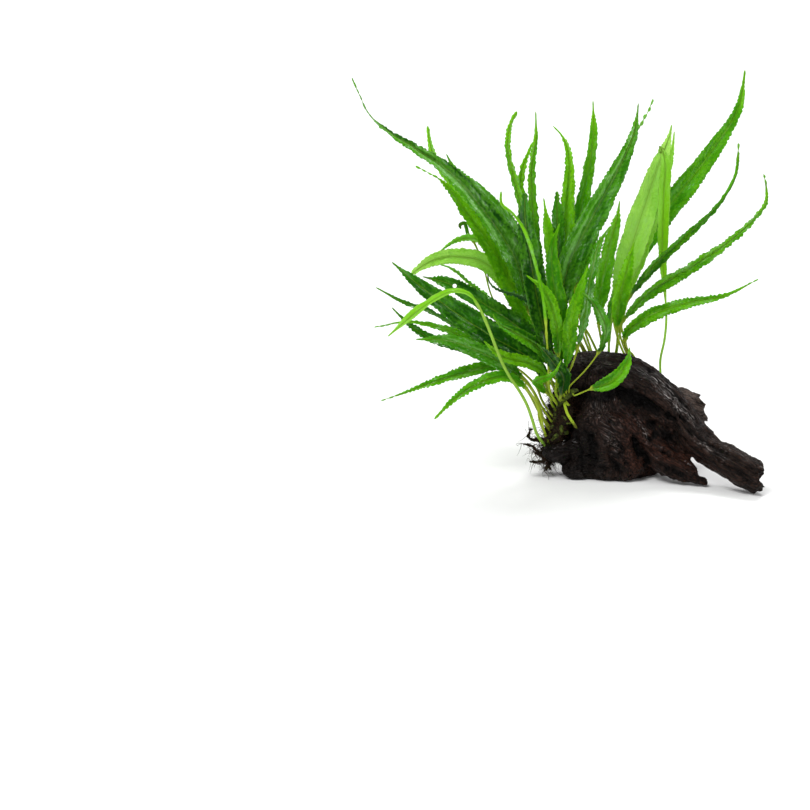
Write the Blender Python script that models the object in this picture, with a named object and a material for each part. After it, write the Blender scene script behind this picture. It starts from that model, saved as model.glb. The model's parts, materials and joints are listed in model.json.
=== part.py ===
"""A java fern grown on a piece of driftwood. Metres, +Z up, the front of the plant towards -Y.

The origin is the middle of the flat patch under the trunk that the wood rests on. Sizes in this file are in
millimetres until `place` turns them into metres. Points are laid out the way a person standing in front of
the plant sees them: `across` to the right, `up` in the picture plane of a view that looks down by VIEW_TILT,
and `back`, the depth away from the viewer.
"""

import math
from dataclasses import dataclass

import bmesh
import bpy
import numpy as np
from mathutils import Vector

MM = 0.001
GAP = 0.3  # clearance between pieces that touch in the real plant
BLUNT_END = 0.6  # a tube's ends stand out by this share of its radius
CURVE_STEPS = 24  # points between two route points when a smooth curve is measured

# Where the viewer stands, and so how the layout coordinates turn into real ones.
VIEW_TILT = math.radians(13.0)
FRONT_EDGE_UP = 3.4  # the floor under the origin is seen this far above the wood's front bottom edge
EYE_DISTANCE = 1687.5
EYE_ACROSS = -150.0  # the layout point that the eye looks at
EYE_UP = 54.75

# Rhizome: the creeping green stem that every frond grows from.
RHIZOME_RADIUS = 3.0
SIDE_RHIZOME_RADIUS = 2.4
RHIZOME_SIDES = 8

# Fronds.
PETIOLE_RADIUS = 0.95
SHOOT_RADIUS = 0.7  # of a young frond that is still rolled up
SHOOT_WIDTH = 2.9  # a frond no wider than this is such a shoot
TIP_RADIUS = 0.15
BLADE_HALF_THICKNESS = 0.45
BLADE_FOOT = 0.15  # the stalk flattens into the blade over this share of the frond
FROND_RINGS = 13
TIP_CROWDING = 1.2  # above 1, a frond's rings stand closer together towards its tip
BLADE_RISE = 0.8  # exponents of the lance-shaped outline, from the blade's foot and from its tip
BLADE_TAPER = 1.25
MIDRIB_FOLD = 0.16  # the two halves of a blade rise from the midrib by this share of their width
RUFFLE = 0.07  # the margins wave up and down by this share of the half width
EXIT_LENGTH = 3.0  # a petiole leaves the rhizome squarely for this length
EXIT_GAP = GAP + 0.2

# Driftwood.
LIMB_SIDES = 22
WOOD_VOXEL = 1.8
WOOD_TRIANGLES = 2000
RIDGE_DEPTH = 0.9
GRAIN_STEPS = 60

# Roots.
ROOT_RADIUS = 0.9
ROOT_TAPER = (1.3, 1.0)
ROOT_VOXEL = 0.8
ROOT_TRIANGLES = 520
ROOT_CLEARANCE = 0.36  # between the roots and the wood that they lie on


def seen(across, up, back):
    """The real point, in millimetres, that is seen at (across, up) when it lies `back` behind the origin."""
    ahead = np.array([0.0, math.cos(VIEW_TILT), -math.sin(VIEW_TILT)])
    upright = np.array([0.0, math.sin(VIEW_TILT), math.cos(VIEW_TILT)])
    sideways = np.array([1.0, 0.0, 0.0])
    eye = EYE_ACROSS * sideways + (EYE_UP - FRONT_EDGE_UP) * upright - EYE_DISTANCE * ahead
    sight = across * sideways + (up - FRONT_EDGE_UP) * upright - eye
    return eye + sight * (back - eye[1]) / sight[1]


def smooth_path(points, count, crowding=1.0):
    """`count` points on a smooth curve through `points`, closer together towards its end if crowding > 1."""
    points = np.array(points, float)
    ends = np.vstack([2 * points[0] - points[1], points, 2 * points[-1] - points[-2]])
    fine = []
    for p0, p1, p2, p3 in zip(ends, ends[1:], ends[2:], ends[3:]):
        k0 = math.sqrt(np.linalg.norm(p1 - p0))
        k1 = k0 + math.sqrt(np.linalg.norm(p2 - p1))
        k2 = k1 + math.sqrt(np.linalg.norm(p3 - p2))
        for k in np.linspace(k0, k1, CURVE_STEPS, endpoint=False):
            a1 = p0 + (p1 - p0) * k / k0
            a2 = p1 + (p2 - p1) * (k - k0) / (k1 - k0)
            a3 = p2 + (p3 - p2) * (k - k1) / (k2 - k1)
            b1 = a1 + (a2 - a1) * k / k1
            b2 = a2 + (a3 - a2) * (k - k0) / (k2 - k0)
            fine.append(b1 + (b2 - b1) * (k - k0) / (k1 - k0))
    fine.append(points[-1])
    fine = np.array(fine)
    length = np.concatenate([[0], np.cumsum(np.linalg.norm(np.diff(fine, axis=0), axis=1))])
    wanted = length[-1] * (1 - (1 - np.linspace(0, 1, count)) ** crowding)
    return np.column_stack([np.interp(wanted, length, fine[:, axis]) for axis in range(3)])


def directions(path):
    """Unit tangents along a path."""
    tangents = np.gradient(path, axis=0)
    return tangents / np.linalg.norm(tangents, axis=1)[:, None]


def unit(vector):
    """The vector at length one."""
    return vector / np.linalg.norm(vector)


# ---------------------------------------------------------------- meshes and objects


def material(name, colour, roughness):
    """The material of that name, made the first time it is asked for."""
    made = bpy.data.materials.get(name) or bpy.data.materials.new(name)
    made.use_nodes = True
    shader = made.node_tree.nodes["Principled BSDF"]
    shader.inputs["Base Color"].default_value = (*colour, 1.0)
    shader.inputs["Roughness"].default_value = roughness
    shader.inputs["Metallic"].default_value = 0.0
    return made


def place(name, mesh_of, finish):
    """An object in metres from a bmesh in millimetres."""
    bmesh.ops.scale(mesh_of, vec=Vector((MM, MM, MM)), verts=mesh_of.verts)
    mesh = bpy.data.meshes.new(name)
    mesh_of.to_mesh(mesh)
    mesh_of.free()
    mesh.materials.append(finish)
    made = bpy.data.objects.new(name, mesh)
    bpy.context.scene.collection.objects.link(made)
    return made


def joined(shapes):
    """One bmesh that holds several."""
    whole = bmesh.new()
    for shape in shapes:
        mesh = bpy.data.meshes.new("shape")
        shape.to_mesh(mesh)
        shape.free()
        whole.from_mesh(mesh)
        bpy.data.meshes.remove(mesh)
    return whole


def loft(rings, tip=None, foot=None, sheet=False):
    """A closed bmesh through rings of equal size.

    `foot` and `tip` are end points, or None for a flat end. A `sheet` has rings of margin, top, margin and
    underside: its two sides are split along the same diagonals, so that they stay apart where it is twisted.
    """
    mesh = bmesh.new()
    rows = [[mesh.verts.new(point) for point in ring] for ring in rings]
    for low, high in zip(rows, rows[1:]):
        for i, vertex in enumerate(low):
            after = (i + 1) % len(low)
            quad = (vertex, low[after], high[after], high[i])
            if sheet:
                first = i % 2
                a, b, c, d = quad[first:] + quad[:first]
                mesh.faces.new((a, b, c))
                mesh.faces.new((a, c, d))
            else:
                mesh.faces.new(quad)
    for row, end in ((rows[0], foot), (rows[-1], tip)):
        if end is None:
            mesh.faces.new(row)
            continue
        point = mesh.verts.new(end)
        for i, vertex in enumerate(row):
            mesh.faces.new((vertex, row[(i + 1) % len(row)], point))
    bmesh.ops.recalc_face_normals(mesh, faces=mesh.faces)
    return mesh


def tube(path, radii, sides):
    """A round tube along a path, with a blunt point at either end."""
    tangents = directions(path)
    side = unit(np.cross(tangents[0], [0.0, 1.0, 0.3]))
    rings = []
    for point, tangent, radius in zip(path, tangents, radii):
        side = unit(side - tangent * side.dot(tangent))
        other = np.cross(tangent, side)
        turns = np.linspace(0, 2 * math.pi, sides, endpoint=False)
        rings.append([point + radius * (math.cos(a) * side + math.sin(a) * other) for a in turns])
    foot = path[0] - tangents[0] * radii[0] * BLUNT_END
    tip = path[-1] + tangents[-1] * radii[-1] * BLUNT_END
    return loft(rings, tip, foot)


# ---------------------------------------------------------------- rhizome

RHIZOME_ROUTE = [
    seen(-42, 22, -6), seen(-38, 38, -2), seen(-34, 52, 2), seen(-32, 64, 8), seen(-31, 76, 16),
    seen(-26, 84, 24), seen(-14, 87, 28), seen(0, 87, 29), seen(14, 84, 29), seen(28, 78, 26),
    seen(40, 70, 22),
]
SIDE_RHIZOME_ROUTE = [seen(-35, 53, -6), seen(-32, 58, -12), seen(-27, 63, -17), seen(-21, 66, -22)]


@dataclass(frozen=True)
class Shoot:
    """A rhizome: its middle line, its thickness, and its open side at its start and its end."""

    name: str
    path: np.ndarray
    radius: float
    open_start: tuple
    open_end: tuple
    turning: tuple  # mm along it between which the open side changes


MAIN = Shoot("rhizome", smooth_path(RHIZOME_ROUTE, 26), RHIZOME_RADIUS,
             open_start=(-1.0, -0.55, 0.1), open_end=(0.0, 0.35, 1.0), turning=(50, 75))
SIDE = Shoot("rhizome_side_shoot", smooth_path(SIDE_RHIZOME_ROUTE, 10), SIDE_RHIZOME_RADIUS,
             open_start=(-0.3, -1.0, 0.5), open_end=(-0.3, -1.0, 0.5), turning=(0, 1))


def root_on(shoot, along, turn):
    """Where a petiole starts, `along` mm up the shoot and `turn` degrees round it, and its way out."""
    lengths = np.concatenate([[0], np.cumsum(np.linalg.norm(np.diff(shoot.path, axis=0), axis=1))])
    centre = np.array([np.interp(along, lengths, shoot.path[:, axis]) for axis in range(3)])
    tangents = directions(shoot.path)
    tangent = unit(np.array([np.interp(along, lengths, tangents[:, axis]) for axis in range(3)]))
    ends = zip(shoot.open_start, shoot.open_end)
    open_way = np.array([np.interp(along, shoot.turning, pair) for pair in ends])
    out = unit(open_way - tangent * open_way.dot(tangent))
    aside = np.cross(tangent, out)
    angle = math.radians(turn)
    out = math.cos(angle) * out + math.sin(angle) * aside
    return centre + out * (shoot.radius + EXIT_GAP), out


def make_shoot(shoot):
    """A rhizome, a little knotty and thinner at its ends."""
    finish = material("rhizome_green", (0.16, 0.24, 0.05), 0.6)
    count = len(shoot.path)
    places = np.arange(count)
    swell = np.minimum(1 + 0.10 * np.sin(places * 1.9), 1.0)
    taper = np.interp(places, [0, 2, count - 4, count - 1], [0.6, 1.0, 1.0, 0.7])
    place(shoot.name, tube(shoot.path, shoot.radius * swell * taper, RHIZOME_SIDES), finish)


# ---------------------------------------------------------------- fronds


@dataclass(frozen=True)
class Leaf:
    """How a frond of some age looks."""

    name: str
    colour: tuple
    roughness: float


DARK = Leaf("frond_dark", (0.045, 0.130, 0.020), 0.35)
GREEN = Leaf("frond_green", (0.100, 0.270, 0.030), 0.42)
BRIGHT = Leaf("frond_bright", (0.200, 0.450, 0.050), 0.45)
PALE = Leaf("frond_pale", (0.350, 0.580, 0.130), 0.50)
WITHERED = Leaf("frond_withered", (0.075, 0.110, 0.030), 0.60)


@dataclass(frozen=True)
class Frond:
    """One frond: where it roots on the rhizome, the way its midrib runs, and its blade."""

    name: str
    leaf: Leaf
    shoot: Shoot
    root: float  # mm along its shoot
    turn: float  # degrees round the shoot from its open side
    route: tuple  # (across, up) from the rhizome to the tip
    back: tuple  # depth at half length and at the tip
    width: float
    start: float  # where the blade begins, as a share of the length
    roll: tuple  # degrees that the blade is turned from facing the viewer, at its foot and tip
    rise: float = BLADE_RISE
    taper: float = BLADE_TAPER
    rings: int = FROND_RINGS

    @property
    def stalk(self):
        """The radius of the petiole."""
        return PETIOLE_RADIUS if self.width > SHOOT_WIDTH else SHOOT_RADIUS


FRONDS = (
    # the upper left fan
    Frond("frond_far_left", DARK, MAIN, 56, 20,
          ((-50, 105), (-68, 165), (-92, 202), (-120, 232), (-150, 252), (-174, 269), (-190, 300)),
          back=(-16, -4), width=19, start=0.22, roll=(20, 30), taper=2.8),
    Frond("frond_left_lace_tip", BRIGHT, MAIN, 52, -25,
          ((-50, 90), (-66, 135), (-84, 172), (-102, 196), (-122, 222), (-142, 234)),
          back=(4, 10), width=19, start=0.22, roll=(10, 25), taper=1.9),
    Frond("frond_left_pale_tip", BRIGHT, MAIN, 60, -20,
          ((-48, 105), (-66, 150), (-88, 190), (-112, 220), (-129, 243), (-133, 264)),
          back=(22, 34), width=13, start=0.30, roll=(-30, -40)),
    Frond("frond_left_upper", DARK, MAIN, 64, 8,
          ((-45, 105), (-60, 150), (-75, 188), (-95, 213), (-111, 229), (-119, 243)),
          back=(9, 22), width=17, start=0.28, roll=(-15, -30)),
    Frond("frond_centre_glossy", DARK, SIDE, 8, -65,
          ((-42, 92), (-50, 130), (-56, 165), (-60, 195), (-60, 214)),
          back=(-30, -36), width=15.5, start=0.20, roll=(25, 0)),
    Frond("frond_hooked", GREEN, MAIN, 70, -10,
          ((-42, 100), (-54, 160), (-66, 215), (-73, 245), (-71, 265), (-66, 275)),
          back=(0, -6), width=12, start=0.22, roll=(50, 45), taper=1.8),
    Frond("frond_twin_left", BRIGHT, MAIN, 74, -35,
          ((-42, 115), (-52, 160), (-62, 205), (-63, 228), (-58, 243), (-54, 252)),
          back=(24, 30), width=10, start=0.35, roll=(60, 65)),
    Frond("frond_twin_right", GREEN, MAIN, 73, 15,
          ((-40, 110), (-50, 155), (-55, 205), (-55, 235), (-52, 255), (-52, 275)),
          back=(10, 14), width=11, start=0.22, roll=(40, 40), taper=1.6),
    Frond("frond_edge_on", BRIGHT, SIDE, 5, -25,
          ((-43, 95), (-46, 130), (-53, 162), (-61, 186), (-72, 201), (-79, 208), (-78, 215)),
          back=(-55, -64), width=10, start=0.35, roll=(68, 75)),
    # the middle
    Frond("frond_sickle", BRIGHT, MAIN, 80, -15,
          ((-32, 120), (-31, 160), (-29, 200), (-27, 235), (-30, 253), (-39, 264)),
          back=(10, 26), width=13, start=0.26, roll=(20, 30), taper=1.8),
    Frond("frond_tall_middle", GREEN, MAIN, 86, 10,
          ((-26, 130), (-22, 180), (-14, 225), (-9, 255), (-9, 283)),
          back=(24, 42), width=13, start=0.24, roll=(30, 45), taper=1.6),
    Frond("frond_broad_middle", DARK, MAIN, 84, 45,
          ((-32, 125), (-25, 165), (-6, 202), (12, 236), (22, 260), (25, 281)),
          back=(-8, 6), width=21, start=0.20, roll=(15, 25), taper=1.5),
    Frond("frond_lace_tip", GREEN, MAIN, 92, -10,
          ((-22, 130), (-12, 180), (6, 225), (22, 258), (30, 270), (36, 284)),
          back=(14, 28), width=14, start=0.28, roll=(35, 45), taper=2.0),
    Frond("frond_short_pointed", BRIGHT, MAIN, 77, 22,
          ((-36, 120), (-39, 155), (-43, 185), (-46, 210)),
          back=(-12, -10), width=11, start=0.28, roll=(30, 40)),
    Frond("frond_short_dark", DARK, MAIN, 82, 5,
          ((-34, 125), (-35, 165), (-36, 195), (-36, 215)),
          back=(2, 6), width=13, start=0.28, roll=(35, 40)),
    Frond("frond_front_bright", BRIGHT, SIDE, 13, -50,
          ((-33, 98), (-36, 130), (-40, 158), (-39, 175), (-34, 191)),
          back=(-36, -38), width=15, start=0.22, roll=(10, 25)),
    Frond("frond_front_small_left", BRIGHT, SIDE, 10.5, -10,
          ((-35, 95), (-38, 120), (-45, 140), (-59, 152)),
          back=(-38.5, -46), width=11, start=0.35, roll=(20, 30)),
    Frond("frond_front_right", BRIGHT, SIDE, 16, -8,
          ((-28, 92), (-26, 118), (-20, 138), (-13, 159)),
          back=(-36, -40), width=12, start=0.24, roll=(15, 30)),
    Frond("frond_silver", DARK, SIDE, 18.5, -45,
          ((-22, 92), (-17, 115), (-11, 150), (-5, 175), (4, 189)),
          back=(-32, -26), width=11, start=0.28, roll=(45, 55)),
    Frond("frond_narrow_right", GREEN, MAIN, 94, 20,
          ((-5, 120), (-2, 150), (4, 178), (9, 195), (11, 208)),
          back=(8, 12), width=13, start=0.24, roll=(30, 40)),
    Frond("frond_folded_down", BRIGHT, MAIN, 102, 55,
          ((9, 100), (10, 128), (15, 152), (22, 177)),
          back=(4, -8), width=13, start=0.30, roll=(10, 20)),
    Frond("frond_drooping_dark", DARK, SIDE, 21.5, -5,
          ((-12, 84), (-3, 98), (0, 112), (-6, 127), (-17, 139)),
          back=(-42, -50), width=9, start=0.42, roll=(40, 50)),
    Frond("frond_on_wood", GREEN, SIDE, 24, 45,
          ((-10, 67), (2, 71), (11, 78), (17, 88), (18.5, 98)),
          back=(-38, -34), width=11, start=0.30, roll=(0, 15)),
    # the right hand fan
    Frond("frond_light_broad", PALE, MAIN, 98, -10,
          ((7, 130), (17, 165), (30, 205), (41, 238), (47, 252), (50, 265)),
          back=(26, 44), width=22, start=0.24, roll=(10, 25)),
    Frond("frond_light_behind", PALE, MAIN, 104, -50,
          ((16, 130), (31, 180), (44, 222), (50, 245), (52, 260)),
          back=(42, 56), width=12, start=0.28, roll=(40, 50)),
    Frond("frond_upright_stem", PALE, MAIN, 141, 0,
          ((41.5, 88), (45, 106), (46, 122), (43, 165), (44, 215), (45, 238), (41, 249)),
          back=(28, 25), width=10, start=0.33, roll=(35, 10), rise=0.8, taper=0.55),
    Frond("frond_tall_right", GREEN, MAIN, 113, -5,
          ((5, 120), (26, 170), (47, 203), (65, 225), (86, 254), (100, 277), (105, 306)),
          back=(56, 76), width=18.5, start=0.28, roll=(10, 30), taper=1.6),
    Frond("frond_right_upper", GREEN, MAIN, 114, 20,
          ((12, 120), (32, 154), (60, 181), (84, 204), (98, 228), (100, 251)),
          back=(12, 6), width=9, start=0.25, roll=(35, 45), taper=2.2),
    Frond("frond_right_middle", GREEN, MAIN, 118, 45,
          ((10, 108), (30, 136), (72, 163), (105, 188), (121, 208), (119, 228)),
          back=(-2, -22), width=12, start=0.20, roll=(35, 50), taper=1.8),
    Frond("frond_right_lower", GREEN, MAIN, 122, 45,
          ((14, 104), (32, 121), (60, 131), (90, 137), (115, 149)),
          back=(-12, -34), width=11, start=0.20, roll=(15, 25), taper=2.0),
    # the left hand fan, top to bottom
    Frond("frond_left_arch_high", BRIGHT, MAIN, 48, -35,
          ((-58, 110), (-72, 152), (-86, 173), (-103, 180), (-117, 175), (-126, 167)),
          back=(36, 30), width=9, start=0.35, roll=(30, 40)),
    Frond("frond_left_arch_pale", PALE, MAIN, 44, -15,
          ((-56, 100), (-72, 140), (-88, 160), (-112, 166), (-132, 162), (-145, 153)),
          back=(24, 12), width=14, start=0.42, roll=(10, 15)),
    Frond("fiddlehead", GREEN, MAIN, 40, -50,
          ((-58, 95), (-84, 134), (-92, 162), (-99, 178), (-104, 185),
           (-104, 190), (-107, 191.5), (-109, 189), (-108, 186.5)),
          back=(44, 50), width=2.2, start=0.90, roll=(0, 0), rings=26),
    Frond("frond_left_thin_bright", BRIGHT, MAIN, 36, -30,
          ((-62, 103), (-84, 131), (-103, 147), (-115, 157), (-124, 160)),
          back=(24, 34), width=8, start=0.35, roll=(35, 45)),
    Frond("frond_left_holed", DARK, MAIN, 46, 35,
          ((-42, 90), (-60, 109), (-90, 130), (-118, 146), (-137, 151)),
          back=(-5, 4), width=15, start=0.14, roll=(20, 20)),
    Frond("frond_left_broad_dark", DARK, MAIN, 33, 15,
          ((-50, 84), (-85, 106), (-115, 126), (-140, 145), (-160, 162)),
          back=(-12, -20), width=21, start=0.12, roll=(15, 20)),
    Frond("frond_left_front", GREEN, MAIN, 50, 60,
          ((-40, 86), (-52, 99), (-68, 109), (-80, 116), (-84, 123)),
          back=(-28, -38), width=12, start=0.18, roll=(20, 40)),
    Frond("frond_withered", WITHERED, MAIN, 60, 10,
          ((-42, 102), (-53, 128), (-64, 136), (-77, 140), (-86, 145), (-88, 153)),
          back=(-8, -12), width=4, start=0.30, roll=(30, 40)),
    Frond("frond_bent_stem", PALE, MAIN, 1, 0,
          ((-60, 58), (-75, 82), (-92, 123), (-101, 137), (-113, 140), (-135, 129), (-163, 106)),
          back=(-44, -60), width=9, start=0.62, roll=(60, 60), rings=18),
    Frond("frond_left_long_thin", DARK, MAIN, 16, -30,
          ((-56, 62), (-78, 86), (-108, 110), (-130, 124), (-150, 131), (-172, 143)),
          back=(22, 34), width=7, start=0.30, roll=(50, 50)),
    Frond("frond_left_two_tone", GREEN, MAIN, 20, -5,
          ((-54, 66), (-78, 88), (-98, 101), (-122, 112), (-148, 117), (-173, 113)),
          back=(6, 10), width=9, start=0.32, roll=(30, 30), taper=2.2),
    Frond("frond_left_behind", DARK, MAIN, 24, -45,
          ((-54, 72), (-80, 90), (-105, 97), (-130, 104), (-148, 116), (-160, 128)),
          back=(36, 44), width=9, start=0.34, roll=(30, 30)),
    Frond("frond_left_glossy", DARK, MAIN, 12, 25,
          ((-56, 68), (-78, 86), (-96, 95), (-118, 103), (-142, 104)),
          back=(-18, -28), width=14, start=0.34, roll=(15, 20)),
    Frond("frond_left_small_bright", BRIGHT, MAIN, 29, 12,
          ((-45, 78), (-58, 86), (-74, 90), (-84, 96), (-91, 103)),
          back=(-14, -28), width=10, start=0.30, roll=(25, 30)),
    Frond("frond_left_low_long", GREEN, MAIN, 8, -20,
          ((-54, 66), (-74, 84), (-98, 81), (-128, 72), (-153, 63), (-168, 58)),
          back=(-4, -10), width=10, start=0.36, roll=(20, 25), taper=2.0),
    Frond("frond_left_lowest", GREEN, MAIN, 5, 30,
          ((-51, 55), (-60, 68), (-76, 76), (-96, 70), (-113, 59), (-128, 44)),
          back=(-24, -38), width=10, start=0.36, roll=(25, 30), taper=1.6),
    Frond("frond_left_filler", DARK, SIDE, 12.6, 16,
          ((-31, 74), (-37, 84), (-44, 93), (-51, 101)),
          back=(-34, -45), width=12, start=0.14, roll=(20, 20)),
    Frond("frond_front_curl", GREEN, SIDE, 1.5, -85,
          ((-50, 69), (-54, 72), (-45, 75), (-38, 79), (-33, 88)),
          back=(-40, -46), width=7, start=0.25, roll=(30, 40)),
    Frond("petiole_cut_off", BRIGHT, SIDE, 11.5, 95,
          ((-30, 56.5), (-28.5, 49), (-25, 43), (-21, 37)),
          back=(-27, -28), width=3.2, start=0.97, roll=(0, 0)),
    # the back of the plant
    Frond("frond_back_left", GREEN, MAIN, 54, -75,
          ((-50, 110), (-66, 150), (-82, 176)),
          back=(50, 68), width=14, start=0.30, roll=(20, 20)),
    Frond("frond_back_middle", GREEN, MAIN, 88, -45,
          ((-20, 130), (-18, 165), (-10, 196)),
          back=(56, 76), width=15, start=0.30, roll=(10, 10)),
    Frond("frond_back_right", GREEN, MAIN, 100, -60,
          ((4, 120), (16, 150), (26, 176)),
          back=(56, 78), width=14, start=0.30, roll=(20, 20)),
)


def frond_line(frond, count):
    """The midrib of a frond, from the rhizome to its tip."""
    start, out = root_on(frond.shoot, frond.root, frond.turn)
    flat = [np.array([x, y]) for x, y in frond.route]
    root_up = start[2] * math.cos(VIEW_TILT) + start[1] * math.sin(VIEW_TILT) + FRONT_EDGE_UP
    steps = [np.array([start[0], root_up])] + flat
    lengths = np.concatenate([[0], np.cumsum([np.linalg.norm(b - a) for a, b in zip(steps, steps[1:])])])
    shares = lengths / lengths[-1]
    middle, tip = frond.back
    depth = (start[1] * (1 - shares) * (1 - 2 * shares) + 4 * middle * shares * (1 - shares)
             + tip * shares * (2 * shares - 1))
    points = [seen(x, y, z) for (x, y), z in zip(flat, depth[1:])]
    return smooth_path([start, start + out * EXIT_LENGTH, *points], count, TIP_CROWDING)


def half_width(frond, share):
    """Half the frond's width at a share of its length: round stalk, then a lance-shaped blade."""
    blade = (share - frond.start) / (1 - frond.start)
    if blade <= 0:
        return frond.stalk
    peak = frond.rise / (frond.rise + frond.taper)
    full = peak**frond.rise * (1 - peak) ** frond.taper
    lance = frond.width / 2 * blade**frond.rise * max(1 - blade, 0) ** frond.taper / full
    return max(lance, frond.stalk * (1 - blade) ** 2, TIP_RADIUS)


def make_frond(frond):
    """A frond: stalk and blade in one, lens-shaped across, with a fold along the midrib and wavy margins."""
    path = frond_line(frond, frond.rings + 1)
    shares = 1 - (1 - np.linspace(0, 1, frond.rings + 1)) ** TIP_CROWDING
    tangents = directions(path)
    viewer = np.array([0.0, -math.cos(VIEW_TILT), math.sin(VIEW_TILT)])
    rings = []
    for i in range(frond.rings):
        share = shares[i]
        tangent = tangents[i]
        face = unit(viewer - tangent * viewer.dot(tangent))
        roll = math.radians(np.interp(share, [frond.start, 1], frond.roll))
        across = np.cross(tangent, face)
        face, across = (math.cos(roll) * face + math.sin(roll) * across,
                        math.cos(roll) * across - math.sin(roll) * face)
        half = half_width(frond, share)
        flatness = min(max((share - frond.start) / BLADE_FOOT, 0), 1)
        thick = frond.stalk + (BLADE_HALF_THICKNESS - frond.stalk) * flatness
        thick = max(min(thick, half), TIP_RADIUS)
        lift = face * half * MIDRIB_FOLD * flatness
        wave = face * half * RUFFLE * flatness * (1 if i % 2 else -1)
        rings.append([path[i] + across * half + lift + wave, path[i] + face * thick,
                      path[i] - across * half + lift - wave, path[i] - face * thick])
    finish = material(frond.leaf.name, frond.leaf.colour, frond.leaf.roughness)
    place(frond.name, loft(rings, tip=path[-1], sheet=True), finish)


# ---------------------------------------------------------------- driftwood


@dataclass(frozen=True)
class Limb:
    """A stretch of wood: centre (across, up, back), half height and half depth at each station."""

    stations: tuple
    count: int
    flutes: float  # how deep the buttress folds are
    fold_rate: float


CREST = Limb(((-30, 76, 6, 7, 11), (-27, 77, 6, 13, 20), (-10, 78, 6, 15.5, 24), (10, 76, 4, 16, 25),
              (26, 69, 2, 16, 24), (42, 57, -3, 15, 21), (56, 43, -10, 14, 16.5), (68, 29.8, -20, 11.5, 13.5),
              (82, 17.8, -33, 10.4, 11.5), (96, 10.8, -45, 11.2, 11), (108, 3.5, -55, 12.3, 11),
              (116, -0.5, -62, 11, 9), (120.5, -3.5, -66, 7, 6)), 36, 0.05, 5)
BODY = Limb(((-29, 30, 2, 10, 10), (-24, 30, 2, 25, 17), (-14, 30, 1, 36, 26), (0, 29, 0, 39, 30),
             (14, 29, 0, 38, 30), (28, 31, -2, 33, 26), (40, 33, -6, 22, 20), (50, 36, -10, 10, 10)),
            30, 0.10, 7)
SHORT_BRANCH = Limb(((26, 27, -12, 12, 12), (42, 15, -21, 10.5, 10), (56, 7, -29, 9.5, 9),
                     (65, 2, -34, 7.5, 6.5), (70, -0.5, -37, 5, 5), (75, -3, -39.5, 3.5, 3.5),
                     (77.5, -4, -41, 2, 2)), 22, 0.08, 5)
BACK_STUB = Limb(((26, 48, 12, 14, 12), (40, 53, 24, 14, 12), (52, 54.5, 31, 13, 11), (61, 52.5, 35.5, 13.5, 9),
                  (67, 50, 38, 12.5, 8), (71.5, 47, 40, 10, 6), (74.5, 44, 41, 6, 4)), 22, 0.10, 6)
NECK = Limb(((-24, 55, -2, 10, 12), (-18, 55, 0, 16, 19), (0, 56, 2, 19, 23), (22, 54, 0, 18, 22),
             (36, 48, -3, 12, 14)), 22, 0.06, 5)
LEFT_NUB = Limb(((-22, 21, -10, 9, 10), (-36, 20, -12, 8, 8), (-42, 20, -13, 6, 6), (-46, 21, -13, 2.5, 3)),
                12, 0.08, 4)
LEFT_FOOT = Limb(((-10, 10, -10, 11, 11), (-20, 8, -14, 9.5, 9), (-27, 6.5, -15, 7.5, 7), (-31, 5, -15, 4, 4)),
                 12, 0.08, 5)
LIMBS = (CREST, BODY, SHORT_BRANCH, BACK_STUB, NECK, LEFT_NUB, LEFT_FOOT)


@dataclass(frozen=True)
class Dent:
    """A groove or a pit: the wood is pushed in along a line."""

    route: tuple  # (across, up, back)
    radius: float
    depth: float


DENTS = (
    Dent(((-27, 64, -16), (-14, 66, -22), (0, 67, -24), (12, 64, -25)), 4.0, 4.0),  # crevice under the hump
    Dent(((12, 64, -25), (26, 58, -22), (40, 50, -22), (54, 40, -24)), 3.0, 1.6),
    Dent(((52, 34, -22), (44, 36, -26), (38, 31, -30), (46, 24, -32), (60, 16, -34)), 4.0, 5.0),
    Dent(((18, 34, -30), (26, 24, -28), (31, 12, -22), (33, 4, -18)), 3.5, 4.5),
    Dent(((4, 22, -30), (6, 12, -28), (7, 2, -26)), 3.0, 3.0),
    Dent(((-10, 20, -27), (-12, 10, -25), (-13, 2, -22)), 3.0, 3.0),
    Dent(((-22, 26, -20), (-26, 14, -18), (-27, 4, -14)), 3.0, 3.0),
    Dent(((-26, 58, -8), (-30, 46, -6), (-34, 34, -6)), 7.0, 6.0),  # the hollow that the roots grow in
    Dent(((22, 67, -20), (24, 66.5, -20)), 2.5, 3.0),
    Dent(((60, 46, -14), (62, 44, -14)), 2.5, 3.0),
    Dent(((48, 42, -20), (50, 41, -20)), 2.2, 2.5),
    Dent(((30, 84, 20), (10, 88, 26), (-14, 86, 27)), 3.0, 2.0),
    Dent(((40, 40, 28), (20, 34, 32), (0, 36, 32)), 4.0, 4.0),
    Dent(((10, 20, 32), (-12, 30, 28), (-24, 34, 22)), 3.0, 3.0),
)


def make_limb(limb):
    """One overlapping stretch of the wood as a closed bmesh."""
    stations = np.array([[*seen(a, u, b), high, deep] for a, u, b, high, deep in limb.stations])
    centre = smooth_path(stations[:, :3], limb.count)
    knots = np.concatenate([[0], np.cumsum(np.linalg.norm(np.diff(stations[:, :3], axis=0), axis=1))])
    along = np.linspace(0, knots[-1], limb.count)
    high = np.interp(along, knots, stations[:, 3])
    deep = np.interp(along, knots, stations[:, 4])
    tangents = directions(centre)
    rings = []
    for i in range(limb.count):
        depth_way = unit(np.array([0.0, 1.0, 0.0]) - tangents[i] * tangents[i][1])
        up_way = np.cross(depth_way, tangents[i])
        ring = []
        for a in np.linspace(0, 2 * math.pi, LIMB_SIDES, endpoint=False):
            fold = 1 + limb.flutes * math.sin(limb.fold_rate * a + along[i] * 0.05)
            spoke = math.cos(a) * deep[i] * depth_way + math.sin(a) * high[i] * up_way
            ring.append(centre[i] + fold * spoke)
        rings.append(ring)
    return loft(rings)


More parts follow.
